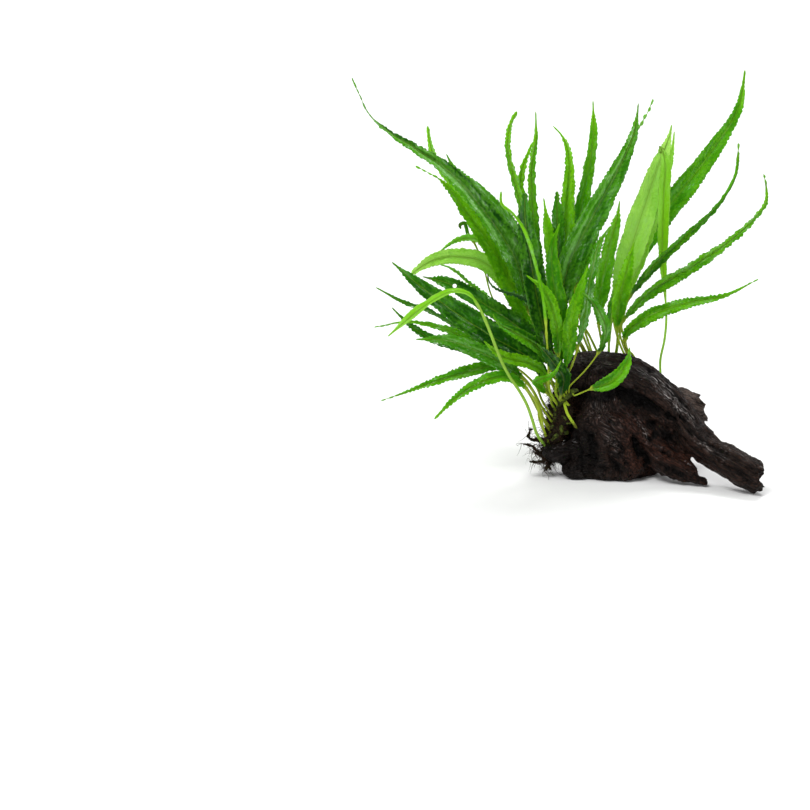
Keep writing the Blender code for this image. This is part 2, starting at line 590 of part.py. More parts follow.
def to_line(points, line):
    """Each point's distance to the nearest spot of a line, and that spot's number."""
    apart = np.linalg.norm(points[:, None, :] - line[None, :, :], axis=2)
    nearest = apart.argmin(axis=1)
    return apart[np.arange(len(points)), nearest], nearest


def weathered(points, normals):
    """The wood's surface with ridges along the grain, and with its grooves and pits."""
    moved = points.copy()
    lines = [smooth_path([seen(*station[:3]) for station in limb.stations], GRAIN_STEPS) for limb in LIMBS]
    reaches = np.column_stack([to_line(points, line)[0] for line in lines])
    for number, line in enumerate(lines):
        mine = reaches.argmin(axis=1) == number
        _, spot = to_line(points[mine], line)
        away = points[mine] - line[spot]
        angle = np.arctan2(away[:, 2], away[:, 1])
        along = spot / GRAIN_STEPS
        sway = angle + 0.25 * np.sin(9 * along + number) + 0.12 * np.sin(31 * along + 2 * number)
        ridge = (1 - 2 * np.abs(np.sin(4.5 * sway + 2 * along))) * (0.6 + 0.4 * np.sin(7 * along + 2 * sway))
        ridge += 0.6 * np.sin(14 * sway - 7 * along + 1.3) * (0.5 + 0.5 * np.sin(12 * along + number))
        lump = np.sin(14 * along + 2 * angle) * np.sin(23 * along - 3 * angle + 1)
        moved[mine] += normals[mine] * (RIDGE_DEPTH * (0.8 * ridge + 0.9 * lump))[:, None]
    for dent in DENTS:
        line = smooth_path([seen(*point) for point in dent.route], 40)
        distance, _ = to_line(points, line)
        moved -= normals * (dent.depth * np.exp(-((distance / dent.radius) ** 2)))[:, None]
    return moved


def apply_modifiers(piece):
    """Makes what the object's modifiers do its own mesh, and returns that mesh."""
    graph = bpy.context.evaluated_depsgraph_get()
    piece.data = bpy.data.meshes.new_from_object(piece.evaluated_get(graph))
    piece.modifiers.clear()
    return piece.data


def fuse(piece, voxel):
    """Fuses an object's overlapping bodies into one."""
    remesh = piece.modifiers.new("fuse", "REMESH")
    remesh.mode = "VOXEL"
    remesh.voxel_size = voxel * MM
    apply_modifiers(piece)


def weather(piece):
    """Gives the wood its weathered surface."""
    mesh = piece.data
    points = np.empty(len(mesh.vertices) * 3)
    normals = np.empty(len(mesh.vertices) * 3)
    mesh.vertices.foreach_get("co", points)
    mesh.vertex_normals.foreach_get("vector", normals)
    points = weathered(points.reshape(-1, 3) / MM, normals.reshape(-1, 3)) * MM
    mesh.vertices.foreach_set("co", points.ravel())
    mesh.update()
    soften = piece.modifiers.new("soften", "SMOOTH")
    soften.iterations = 2


def facet(piece, triangles):
    """Brings an object down to about so many facets."""
    facets = piece.modifiers.new("facets", "DECIMATE")
    facets.ratio = triangles / (2 * len(piece.data.polygons))
    apply_modifiers(piece)


def as_cutter(piece):
    """Marks an object as a tool that is no part of the model."""
    piece.display_type = "WIRE"
    piece.hide_render = True
    return piece


def box(name, centre, size, angles=(0, 0, 0)):
    """A cutter: a box in millimetres, rotated about X, then Y, then Z by `angles` in degrees."""
    made = bpy.data.meshes.new(name)
    shape = bmesh.new()
    bmesh.ops.create_cube(shape, size=1.0)
    bmesh.ops.scale(shape, vec=Vector(size) * MM, verts=shape.verts)
    shape.to_mesh(made)
    shape.free()
    cutter = bpy.data.objects.new(name, made)
    cutter.rotation_euler = [math.radians(angle) for angle in angles]
    cutter.location = Vector(centre) * MM
    bpy.context.scene.collection.objects.link(cutter)
    return as_cutter(cutter)


def carve(piece, cutter, operation):
    """Adds a Boolean modifier to a piece."""
    cut = piece.modifiers.new(cutter.name, "BOOLEAN")
    cut.object = cutter
    cut.operation = operation


def drop_slivers(piece):
    """Keeps the largest body of a piece and drops the slivers that a cut has left beside it."""
    shape = bmesh.new()
    shape.from_mesh(piece.data)
    bodies = []
    met = set()
    for first in shape.faces:
        if first in met:
            continue
        met.add(first)
        body = [first]
        for face in body:
            for other in (other for edge in face.edges for other in edge.link_faces):
                if other not in met:
                    met.add(other)
                    body.append(other)
        bodies.append(body)
    slivers = [face for body in sorted(bodies, key=len)[:-1] for face in body]
    bmesh.ops.delete(shape, geom=slivers, context="FACES")
    shape.to_mesh(piece.data)
    shape.free()


@dataclass(frozen=True)
class Fork:
    """Where a limb leaves the trunk: the middle of the cut, the limb's direction, and the cut's size."""

    name: str
    middle: tuple  # across, up, back
    roll: float
    dip: float
    turn: float
    reach: float
    width: float


FORKS = (
    Fork("driftwood_short_branch", (44, 12, -24), -29, 19, -33, 39, 24),
    Fork("driftwood_long_prong", (66, 33, -18), 0, 22, -41, 90, 40),
    Fork("driftwood_back_stub", (50, 54, 29), 0, 4, 28, 40, 38),
)


def fork_box(fork, grow):
    """The space of a limb beyond its fork, with `grow` added on every side."""
    size = np.array([fork.reach, fork.width, fork.width]) + 2 * grow
    cutter = box("cut_" + fork.name, (0, 0, 0), size, (fork.roll, fork.dip, fork.turn))
    bpy.context.view_layer.update()
    forward = cutter.matrix_world.to_3x3() @ Vector((1, 0, 0))
    cutter.location = (Vector(seen(*fork.middle)) + forward * (fork.reach / 2)) * MM
    return cutter


def make_driftwood():
    """The trunk, and the limbs cut from it one after the other at their forks."""
    finish = material("driftwood_brown", (0.035, 0.022, 0.016), 0.55)
    wood = place("driftwood_trunk", joined([make_limb(limb) for limb in LIMBS]), finish)
    fuse(wood, WOOD_VOXEL)
    weather(wood)
    facet(wood, WOOD_TRIANGLES)
    carve(wood, box("cut_floor", (0, 0, -50), (600, 600, 100)), "DIFFERENCE")
    carve(wood, box("cut_bite", seen(122, 1.5, -66), (11, 30, 6), (0, 20, -30)), "DIFFERENCE")
    apply_modifiers(wood)
    for fork in FORKS:
        limb = bpy.data.objects.new(fork.name, wood.data.copy())
        bpy.context.scene.collection.objects.link(limb)
        carve(limb, fork_box(fork, 0.0), "INTERSECT")
        carve(wood, fork_box(fork, GAP), "DIFFERENCE")
        for piece in (limb, wood):
            apply_modifiers(piece)
            drop_slivers(piece)
    return wood


# ---------------------------------------------------------------- roots

ROOTS = (
    ((-39, 28, 4), (-45, 28, 4), (-51, 28, 3), (-57, 29.5, 1), (-58, 34, 0), (-55, 37, 0), (-51, 36, 0)),
    ((-42, 17, -3), (-49, 19, -8), (-55, 24, -13), (-62, 26, -16)),
    ((-43, 16, -8), (-48, 12, -12), (-53, 12, -15), (-58, 12.5, -18)),
    ((-42, 14, -4), (-46, 16, -2), (-51, 18, 2), (-55, 21, 4)),
    ((-40, 15, -8), (-44, 8, -12), (-46, 4, -15)),
    ((-40, 14, -1), (-42, 9, -9), (-39, 4.5, -15)),
    ((-40, 24, 2), (-48, 30, 10), (-54, 30, 17)),
    ((-38, 18, 4), (-44, 14, 12), (-50, 10, 18)),
    ((-36, 34, -8), (-42, 31, -14), (-47, 27, -19)),
)
ROOT_LUMPS = (  # across, up, back, radius
    (-41, 18, 0, 6.5), (-40, 24, -2, 6.5), (-39, 31, 1, 6.5), (-38, 38, 4, 6.5), (-37, 45, 7, 6.5),
    (-36, 52, 10, 6.5), (-34, 59, 14, 6.5), (-32, 66, 18, 6), (-37, 30, -8, 5.5), (-34, 37, -9, 5.5),
    (-31, 44, -10, 5.5), (-29, 51, -10, 5.5), (-40, 22, 8, 6), (-39, 33, 11, 6.5), (-37, 44, 15, 6.5),
    (-34, 55, 19, 6), (-30, 59, -4, 5.5), (-42, 17, -5, 4.5),
)


def make_roots():
    """The root mat under the rhizome, with its longest roots."""
    finish = material("root_brown", (0.06, 0.035, 0.018), 0.8)
    shapes = []
    for route in ROOTS:
        path = smooth_path([seen(*point) for point in route], 10)
        shapes.append(tube(path, np.linspace(*ROOT_TAPER, len(path)) * ROOT_RADIUS, 6))
    for across, up, back, radius in ROOT_LUMPS:
        ball = bmesh.new()
        bmesh.ops.create_icosphere(ball, subdivisions=2, radius=radius)
        bmesh.ops.translate(ball, vec=Vector(seen(across, up, back)), verts=ball.verts)
        shapes.append(ball)
    mat = place("root_mat", joined(shapes), finish)
    fuse(mat, ROOT_VOXEL)
    facet(mat, ROOT_TRIANGLES)
    return mat


def seat_rhizomes(wood, roots):
    """Presses the rhizomes into the wood and the root mat, and the root mat onto the wood."""
    for shoot in (MAIN, SIDE):
        shape = tube(shoot.path, [shoot.radius + GAP] * len(shoot.path), RHIZOME_SIDES)
        cutter = as_cutter(place("seat_of_" + shoot.name, shape, wood.data.materials[0]))
        carve(wood, cutter, "DIFFERENCE")
        carve(roots, cutter, "DIFFERENCE")
    apply_modifiers(wood)
    bed = as_cutter(bpy.data.objects.new("bed_of_roots", wood.data.copy()))
    bpy.context.scene.collection.objects.link(bed)
    swollen = bed.modifiers.new("clearance", "DISPLACE")
    swollen.mid_level = 0.0
    swollen.strength = ROOT_CLEARANCE * MM
    carve(roots, bed, "DIFFERENCE")
    apply_modifiers(roots)
    drop_slivers(roots)


def main():
    """Builds the whole plant."""
    for old in list(bpy.data.objects):
        bpy.data.objects.remove(old)
    wood = make_driftwood()
    roots = make_roots()
    seat_rhizomes(wood, roots)
    make_shoot(MAIN)
    make_shoot(SIDE)
    for frond in FRONDS:
        make_frond(frond)


main()
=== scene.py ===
"""The looks of a java fern on driftwood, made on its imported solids.

Every piece lies in the frame of the solids: metres, +Z up, the front of the plant towards -Y. Inside the
classes lengths are in millimetres, and MM turns them into metres where a mesh is written.
"""

from __future__ import annotations

import json
import logging
import math
from collections.abc import Sequence
from dataclasses import dataclass
from enum import Enum
from itertools import permutations
from typing import Any

import bmesh
import bpy
import numpy as np
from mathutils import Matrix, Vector
from mathutils.bvhtree import BVHTree
from mathutils.kdtree import KDTree

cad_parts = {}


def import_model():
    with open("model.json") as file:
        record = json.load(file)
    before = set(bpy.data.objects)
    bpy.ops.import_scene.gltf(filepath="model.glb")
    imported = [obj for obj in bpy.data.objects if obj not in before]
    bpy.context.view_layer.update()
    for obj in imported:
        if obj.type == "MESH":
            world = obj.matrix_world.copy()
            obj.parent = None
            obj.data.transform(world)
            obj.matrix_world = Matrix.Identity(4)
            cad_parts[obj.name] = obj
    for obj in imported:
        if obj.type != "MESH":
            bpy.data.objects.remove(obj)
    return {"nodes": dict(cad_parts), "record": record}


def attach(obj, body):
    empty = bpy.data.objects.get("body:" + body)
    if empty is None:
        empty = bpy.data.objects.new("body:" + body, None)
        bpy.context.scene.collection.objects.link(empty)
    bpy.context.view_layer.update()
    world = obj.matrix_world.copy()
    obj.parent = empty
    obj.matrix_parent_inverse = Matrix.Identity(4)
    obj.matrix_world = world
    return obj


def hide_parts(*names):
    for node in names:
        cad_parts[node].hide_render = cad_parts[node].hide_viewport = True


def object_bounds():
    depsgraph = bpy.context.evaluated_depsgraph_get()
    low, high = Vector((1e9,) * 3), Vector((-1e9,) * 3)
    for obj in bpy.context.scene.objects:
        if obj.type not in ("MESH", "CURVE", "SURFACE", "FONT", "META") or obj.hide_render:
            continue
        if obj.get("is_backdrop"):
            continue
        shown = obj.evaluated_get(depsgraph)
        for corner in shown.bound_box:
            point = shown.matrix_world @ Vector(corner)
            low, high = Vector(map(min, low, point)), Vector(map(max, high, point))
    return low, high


log = logging.getLogger("java_fern")

Array = np.ndarray
Piece = bpy.types.Object
Finish = bpy.types.Material
Point = tuple[float, float, float]
Colour = Point
Chance = np.random.Generator

MM = 0.001
BODY = "root"
SEED = 7


# ---- numbers


def lattice_noise(points: Array, seed: int = 0) -> Array:
    """Smooth noise that repeats from run to run.

    Args:
        points: Places in three coordinates; one unit is one cell of the noise.
        seed: Picks another pattern.

    Returns:
        A value between -1 and 1 for each point.
    """
    cell = np.floor(points).astype(np.int64)
    share = points - cell
    share = share * share * (3 - 2 * share)
    total = np.zeros(len(points))
    for corner in range(8):
        bits = np.array([corner & 1, corner >> 1 & 1, corner >> 2 & 1])
        weight = np.prod(np.where(bits, share, 1 - share), axis=1)
        key = (cell + bits) @ np.array([73856093, 19349663, 83492791]) + seed * 2654435761
        key = (key ^ (key >> 13)) * 1274126177 & 0x7FFFFFFF
        key = (key ^ (key >> 15)) * 461845907 & 0x7FFFFFFF
        total += weight * ((key >> 7 & 0xFFFF) / 32767.5 - 1)
    return total


def ridged(points: Array, seed: int = 0) -> Array:
    """Noise with sharp crests, between -1 and 1."""
    return 1 - 2 * np.abs(lattice_noise(points, seed))


def smoothstep(values: Array, low: float, high: float) -> Array:
    """0 below `low`, 1 above `high`, and a soft change between them."""
    share = np.clip((values - low) / (high - low), 0, 1)
    return share * share * (3 - 2 * share)


def eased(knots: Array, values: Array, wanted: Array) -> Array:
    """A smooth curve through rows of values that stand at rising knots, read at the wanted places."""
    slopes = np.gradient(values, knots, axis=0)
    i = np.clip(np.searchsorted(knots, wanted, side="right") - 1, 0, len(knots) - 2)
    gap = (knots[i + 1] - knots[i])[:, None]
    t = (wanted - knots[i])[:, None] / gap
    return (
        (1 + 2 * t) * (1 - t) ** 2 * values[i]
        + t * (1 - t) ** 2 * gap * slopes[i]
        + t * t * (3 - 2 * t) * values[i + 1]
        + t * t * (t - 1) * gap * slopes[i + 1]
    )


def lengths_along(points: Array) -> Array:
    """How far along a path each of its points lies."""
    return np.concatenate([[0], np.cumsum(np.linalg.norm(np.diff(points, axis=0), axis=1))])


def unit(vectors: Array) -> Array:
    """Vectors at length one."""
    return vectors / np.maximum(np.linalg.norm(vectors, axis=-1, keepdims=True), 1e-12)


# ---- meshes


def choose(*pieces: Piece) -> None:
    """Selects pieces alone, the first of them active."""
    bpy.ops.object.select_all(action="DESELECT")
    for piece in pieces:
        piece.select_set(True)
    bpy.context.view_layer.objects.active = pieces[0]


def read(rows: Any, name: str) -> Array:
    """A vector of each row of a mesh's vertices or normals."""
    flat = np.empty(len(rows) * 3, np.float32)
    rows.foreach_get(name, flat)
    return flat.reshape(-1, 3).astype(float)


def corners(piece: Piece) -> Array:
    """A piece's vertices in millimetres."""
    return read(piece.data.vertices, "co") / MM


def directions(piece: Piece) -> Array:
    """A piece's vertex normals."""
    return read(piece.data.vertex_normals, "vector")


def reshape(piece: Piece, points: Array) -> None:
    """Puts a piece's vertices at points given in millimetres."""
    piece.data.vertices.foreach_set("co", (points * MM).astype(np.float32).ravel())
    piece.data.update()


def paint(piece: Piece, name: str, values: Array) -> None:
    """Stores a number or a vector for each vertex under a name that a material reads."""
    kind, key = ("FLOAT", "value") if values.ndim == 1 else ("FLOAT_VECTOR", "vector")
    layer = piece.data.attributes.new(name, kind, "POINT")
    layer.data.foreach_set(key, values.astype(np.float32).ravel())


@dataclass(frozen=True)
class Box:
    """The box round all solids, in millimetres; nothing that is made here leaves it."""

    low: Array
    high: Array

    @classmethod
    def read(cls) -> Box:
        """The box of what is in the frame."""
        return cls(*(np.array(corner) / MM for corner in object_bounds()))

    def hold(self, points: Array) -> Array:
        """Points moved to the box's sides where they would stand out of it."""
        return np.clip(points, self.low + 0.001, self.high - 0.001)


def raise_by(piece: Piece, heights_mm: Array, box: Box) -> None:
    """Moves a piece's surface outwards, inside the box."""
    reshape(piece, box.hold(corners(piece) + directions(piece) * heights_mm[:, None]))


def finished(piece: Piece, *modifiers: bpy.types.Modifier) -> None:
    """Applies modifiers in their order."""
    choose(piece)
    for modifier in modifiers:
        bpy.ops.object.modifier_apply(modifier=modifier.name)


def cast(name: str, nodes: Sequence[Piece]) -> Piece:
    """One merged copy of some solids' meshes.

    Args:
        name: What the copy is called.
        nodes: The solids' objects, which stay as they are.

    Returns:
        The new object, at the origin.
    """
    copies = []
    for node in nodes:
        copy = bpy.data.objects.new(name, node.data.copy())
        copy.data.materials.clear()
        bpy.context.scene.collection.objects.link(copy)
        copies.append(copy)
    choose(*copies)
    if len(copies) > 1:
        bpy.ops.object.join()
    bpy.ops.object.mode_set(mode="EDIT")
    bpy.ops.mesh.select_all(action="SELECT")
    bpy.ops.mesh.remove_doubles(threshold=1e-6)
    bpy.ops.object.mode_set(mode="OBJECT")
    copies[0].data.name = name
    return copies[0]


def recast(piece: Piece, swell_mm: float, voxel_mm: float, rounds: int) -> None:
    """Turns a faceted body into an even, rounded mesh.

    Args:
        piece: The body.
        swell_mm: How far it grows first, to close the gaps between its solids.
        voxel_mm: The size of the new faces.
        rounds: How often the facets are smoothed.
    """
    swell = piece.modifiers.new("swell", "DISPLACE")
    swell.mid_level = 0.0
    swell.strength = max(swell_mm, 0.001) * MM
    remesh = piece.modifiers.new("remesh", "REMESH")
    remesh.mode = "VOXEL"
    remesh.voxel_size = voxel_mm * MM
    smooth = piece.modifiers.new("smooth", "SMOOTH")
    smooth.iterations = rounds
    finished(piece, swell, remesh, smooth)


def hand_over(piece: Piece, finish: Finish, slot: str, *nodes: str) -> None:
    """Dresses a piece and gives it to the frame.

    Args:
        piece: The piece.
        finish: Its material.
        slot: The record's material slot; not used.
        nodes: The solids it stands for.
    """
    piece.data.materials.clear()
    piece.data.materials.append(finish)
    choose(piece)
    bpy.ops.object.shade_smooth()
    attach(piece, BODY)
    if nodes:
        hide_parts(*nodes)
    log.info("%s: %d faces", piece.name, len(piece.data.polygons))


# ---- shaders


class Wire:
    """A shader socket that Python arithmetic works on."""

    def __init__(self, shader: Shader, socket: bpy.types.NodeSocket) -> None:
        """Wraps an output socket of a shader."""
        self.shader = shader
        self.socket = socket

    def _maths(self, operation: str, *terms: Wire | float) -> Wire:
        """A Math node on this and other terms."""
        return self.shader.node("ShaderNodeMath", {"operation": operation}, dict(enumerate(terms)))

    def __add__(self, other: Wire | float) -> Wire:
        """Sum."""
        return self._maths("ADD", self, other)

    __radd__ = __add__

    def __sub__(self, other: Wire | float) -> Wire:
        """Difference."""
        return self._maths("SUBTRACT", self, other)

    def __mul__(self, other: Wire | float) -> Wire:
        """Product."""
        return self._maths("MULTIPLY", self, other)

    def __abs__(self) -> Wire:
        """Size without the sign."""
        return self._maths("ABSOLUTE", self)

    def to_whole(self) -> Wire:
        """Distance to the nearest whole number."""
        return self._maths("PINGPONG", self, 0.5)


class Shader:
    """A material's node tree."""

    def __init__(self, name: str) -> None:
        """Starts an empty material."""
        self.material = bpy.data.materials.new(name)
        self.material.use_nodes = True
        self.tree = self.material.node_tree
        self.tree.nodes.clear()

    def node(
        self,
        kind: str,
        settings: dict[str, Any] | None = None,
        values: dict[str | int, Any] | None = None,
        output: str | int = 0,
    ) -> Wire:
        """Adds a node.

        Args:
            kind: Its type.
            settings: Its properties.
            values: Numbers, colours or wires for its sockets, by identifier, name or number.
            output: The socket to hand back.

        Returns:
            The wire of that output.
        """
        made = self.tree.nodes.new(kind)
        for name, setting in (settings or {}).items():
            setattr(made, name, setting)
        for key, value in (values or {}).items():
            socket = self._socket(made.inputs, key)
            if isinstance(value, Wire):
                self.tree.links.new(value.socket, socket)
            else:
                socket.default_value = value
        return Wire(self, self._socket(made.outputs, output) if made.outputs else None)

    @staticmethod
    def _socket(sockets: Any, key: str | int) -> bpy.types.NodeSocket:
        """A socket by number, identifier or name."""
        if isinstance(key, int):
            return sockets[key]
        found = [socket for socket in sockets if socket.identifier == key]
        return found[0] if found else sockets[key]

    def painted(self, name: str, output: str = "Vector") -> Wire:
        """What `paint` stored under a name."""
        return self.node("ShaderNodeAttribute", {"attribute_name": name}, output=output)

    def place(self) -> Wire:
        """Object coordinates."""
        return self.node("ShaderNodeTexCoord", output="Object")

    def split(self, vector: Wire) -> tuple[Wire, Wire, Wire]:
        """A vector's three parts."""
        parts = self.node("ShaderNodeSeparateXYZ", values={"Vector": vector})
        outputs = parts.socket.node.outputs
        return Wire(self, outputs[0]), Wire(self, outputs[1]), Wire(self, outputs[2])

    def scaled(self, vector: Wire, scale: Sequence[float]) -> Wire:
        """A vector stretched along each axis."""
        return self.node("ShaderNodeMapping", values={"Vector": vector, "Scale": scale})

    def rise(self, value: Wire, low: float, high: float) -> Wire:
        """0 at `low`, 1 at `high`, softly between; `low` may be the larger."""
        values = {"Value": value, "From Min": low, "From Max": high}
        return self.node("ShaderNodeMapRange", {"interpolation_type": "SMOOTHSTEP"}, values)

    def noise(self, vector: Wire, scale: float, detail: float) -> Wire:
        """Noise between 0 and 1."""
        values = {"Vector": vector, "Scale": scale, "Detail": detail}
        return self.node("ShaderNodeTexNoise", values=values, output="Fac")

    def cells(self, vector: Wire, scale: float, feature: str = "DISTANCE_TO_EDGE") -> Wire:
        """Cells: the distance to their edges or their middles."""
        values = {"Vector": vector, "Scale": scale}
        return self.node("ShaderNodeTexVoronoi", {"feature": feature}, values, output="Distance")

    def layered(self, ground: Colour | Wire, *layers: tuple[Colour | Wire, Wire]) -> Wire:
        """A ground colour with others laid over it in turn, each by its share."""
        for layer in layers:
            first, second = (part if isinstance(part, Wire) else (*part, 1.0) for part in (ground, layer[0]))
            ground = self.node(
                "ShaderNodeMix",
                {"data_type": "RGBA"},
                {"Factor_Float": layer[1], "A_Color": first, "B_Color": second},
                output="Result_Color",
            )
        return ground

    def bumped(self, height: Wire, depth_mm: float, strength: float) -> Wire:
        """A normal from a height map."""
        values = {"Height": height, "Distance": depth_mm * MM, "Strength": strength}
        return self.node("ShaderNodeBump", values=values)

    def skin(self, values: dict[str, Any]) -> Wire:
        """An opaque surface."""
        return self.node("ShaderNodeBsdfPrincipled", values=values)

    def close(self, surface: Wire) -> Finish:
        """Joins a surface to the output and hands back the material."""
        self.node("ShaderNodeOutputMaterial", values={"Surface": surface})
        return self.material


@dataclass(frozen=True)
class LeafFinish:
    """The skin of a frond of some age. Colours are linear."""

    slot: str
    deep: Colour
    lamina: Colour
    light: Colour
    rib: Colour
    stalk: Colour
    glow: Colour
    translucence: float
    roughness: float
    coat: float
    brown: Colour = (0.050, 0.022, 0.006)
    # The next two colours are painted light: a milky sheen and pale glints laid into the colour where light
    # shines on the blade
    painted_sheen: Colour = (0.190, 0.500, 0.085)
    painted_glint: Colour = (0.420, 0.700, 0.380)

    def make(self) -> Finish:
        """Builds the material.

        Returns:
            A two-layered leaf: a glossy skin over a body that lets light through.
        """
        shader = Shader(f"{self.slot}_skin")
        rise, noise, scaled = shader.rise, shader.noise, shader.scaled
        across, along, tone_and_lit_half = shader.split(shader.painted("leaf"))
        beside, down, phase = shader.split(shader.painted("vein"))
        brown, relief = shader.painted("brown", "Fac"), shader.painted("relief", "Fac")
        blade = rise(along, 0.005, 0.06)
        flat = shader.node("ShaderNodeCombineXYZ", values={0: beside, 1: down, 2: tone_and_lit_half * 40.0})
        drawn_out = scaled(flat, (1.0, 0.3, 1.0))
        patches = noise(drawn_out, 0.22, 4.0)
        streaks = noise(scaled(flat, (1.0, 0.16, 1.0)), 0.55, 3.0)
        grains = noise(flat, 0.9, 3.0)
        flecks = rise(noise(flat, 1.3, 2.0), 0.50, 0.62)
        net = rise(shader.cells(flat, 0.80), 0.16, 0.02)
        sides = rise(phase.to_whole(), 0.12, 0.02) * rise(abs(across), 0.98, 0.70)
        # Tone along the frond and in patches, plus painted light and shade: one half of the blade lit and
        # lighter, the other darker
        shade = along * 0.36 + patches * 0.8 + streaks * 0.35 + tone_and_lit_half * 0.35 - 0.14
        shade = shade + rise(along, 0.78, 1.0) * 0.35
        # Painted glint: a mask for pale flecks laid into the colour where a glossy, damp blade would reflect
        # the light
        wet = rise(noise(drawn_out, 1.1, 2.0) + patches * 0.5 + tone_and_lit_half * 0.10, 0.90, 1.01)
        lamina = shader.layered(
            self.deep,
            (self.lamina, rise(shade, 0.10, 0.70)),
            (self.light, rise(shade, 0.60, 1.20)),
            # Partly painted highlight: the raised bulges of the relief are lighter; the grains add mottling
            # of the blade's own
            (self.light, rise(relief + grains * 0.9, 0.75, 1.35) * 0.42),
            (self.deep, rise(grains + patches * 0.3, 0.62, 0.42) * 0.45),
            (self.deep, (net * 0.16 + sides * 0.08) * blade),
            (self.light, rise(abs(across), 0.80, 1.0) * blade * 0.45),
            # Painted sheen: milky light green on the half painted as lit, and along the raised ridge and the
            # highest bulges
            (self.painted_sheen, rise(tone_and_lit_half * 0.6 + patches * 1.4 + streaks * 1.2, 1.60, 2.25) * 0.45),
            (self.painted_sheen, rise(relief + streaks * 1.2 + patches * 0.6, 1.85, 2.50) * 0.75),
            (self.rib, rise(abs(beside), 0.36, 0.12) * blade * 0.55),
            (self.painted_glint, wet * blade * (0.60 * self.coat)),
        )
        stalk = shader.layered(self.stalk, (self.deep, rise(tone_and_lit_half, -0.4, -1.3) * 0.35))
        dry = rise(brown + flecks * 0.55 - 0.45, 0.08, 0.60) * 0.9
        height = grains * 0.35 + streaks * 1.4 - net * 0.12 - sides * 0.10
        skin = shader.skin(
            {
                "Base Color": shader.layered(stalk, (lamina, blade), (self.brown, dry)),
                "Roughness": self.roughness + streaks * 0.22 + brown * 0.3,
                "Coat Weight": rise(patches * 0.6 + streaks, 0.76, 0.94) * self.coat,
                "Coat Roughness": 0.10,
                "Specular IOR Level": 0.05,
                "Normal": shader.bumped(height, 1.0, 0.9),
            }
        )
        inside = shader.node("ShaderNodeBsdfTranslucent", values={"Color": (*self.glow, 1.0)})
        both = {0: self.translucence, 1: skin, 2: inside}
        return shader.close(shader.node("ShaderNodeMixShader", values=both))


@dataclass(frozen=True)
class WoodFinish:
    """Dark wet driftwood. Colours are linear."""

    # The first, near-black colour serves the grain's dark cracks, pores and strands, and also painted shade
    # in hollows and on the left nub; the last, pale one is a painted highlight
    grain_black_and_shade: Colour = (0.0010, 0.0006, 0.0005)
    dark: Colour = (0.0060, 0.0036, 0.0027)
    brown: Colour = (0.0270, 0.0135, 0.0090)
    red: Colour = (0.0420, 0.0130, 0.0070)
    worn: Colour = (0.1050, 0.0760, 0.0630)
    painted_shine: Colour = (0.3800, 0.3600, 0.3500)

    def make(self) -> Finish:
        """Builds the material."""
        shader = Shader("driftwood_wet")
        rise, noise, scaled = shader.rise, shader.noise, shader.scaled
        grain = shader.painted("grain")
        relief, reddish, wear_and_shade, wet = (
            shader.painted(name, "Fac") for name in ("relief", "reddish", "wear_and_shade", "wet")
        )
        fibres = noise(scaled(grain, (0.07, 1.0, 1.0)), 0.42, 4.0)
        threads = noise(scaled(grain, (0.08, 1.0, 1.0)), 1.4, 3.0)
        strands = noise(scaled(grain, (0.06, 1.0, 1.0)), 0.80, 2.0)
        crust = noise(grain, 0.75, 5.0)
        blotches = noise(grain, 0.09, 4.0)
        cracks = rise(shader.cells(scaled(grain, (0.10, 1.0, 1.0)), 0.50), 0.09, 0.01)
        pores = rise(shader.cells(scaled(grain, (0.5, 1.0, 1.0)), 0.70, "F1"), 0.28, 0.12)
        # Lighter fibres and threads of the grain, plus a little painted highlight on the ridges of the relief
        fibres_and_ridge_light = rise(fibres * 0.5 + threads * 0.45 + crust * 0.3 + relief * 0.12, 0.50, 0.80)
        ruddy = rise(blotches * 0.6 + reddish * 0.5 + crust * 0.3, 0.50, 0.90) * fibres_and_ridge_light
        tone = shader.layered(
            self.dark,
            (self.brown, fibres_and_ridge_light),
            (self.red, ruddy),
            (self.worn, rise(threads * 0.6 + fibres * 0.4 + wear_and_shade, 0.78, 1.15) * 0.8),
            (self.dark, rise(threads, 0.52, 0.40) * 0.55),
            (self.grain_black_and_shade, rise(strands, 0.48, 0.38) * 0.55),
            # Darker where the wear value is below zero: painted shade on the left nub, and darker towards the
            # top of the hump
            (self.grain_black_and_shade, rise(wear_and_shade, -0.08, -0.6) * 0.7),
            # Painted shade: the hollows of the relief are darkened
            (self.grain_black_and_shade, rise(relief, -0.25, -1.3) * 0.85),
            # Painted highlight: pale thin streaks laid along the glossy streaks
            (self.painted_shine, wet * rise(threads + fibres * 0.3, 0.66, 0.76) * 0.80),
            (self.grain_black_and_shade, cracks * 0.7),
            (self.grain_black_and_shade, pores * 0.55),
        )
        gloss = rise(blotches * 0.5 + threads * 0.9, 0.72, 0.92) * 0.32
        gloss = gloss + wet * rise(threads, 0.50, 0.62) * 0.6
        height = fibres * 0.9 + strands * 0.8 + threads * 0.6 + crust * 0.75 - pores * 0.45 - cracks * 0.5
        skin = shader.skin(
            {
                "Base Color": tone,
                "Roughness": rise(blotches + threads * 0.4, 0.25, 1.05) * 0.30 + 0.32,
                "Coat Weight": gloss * rise(relief, -0.6, 0.0),
                "Coat Roughness": 0.12,
                "Specular IOR Level": 0.10,
                "Normal": shader.bumped(height, 1.6, 0.9),
            }
        )
        return shader.close(skin)


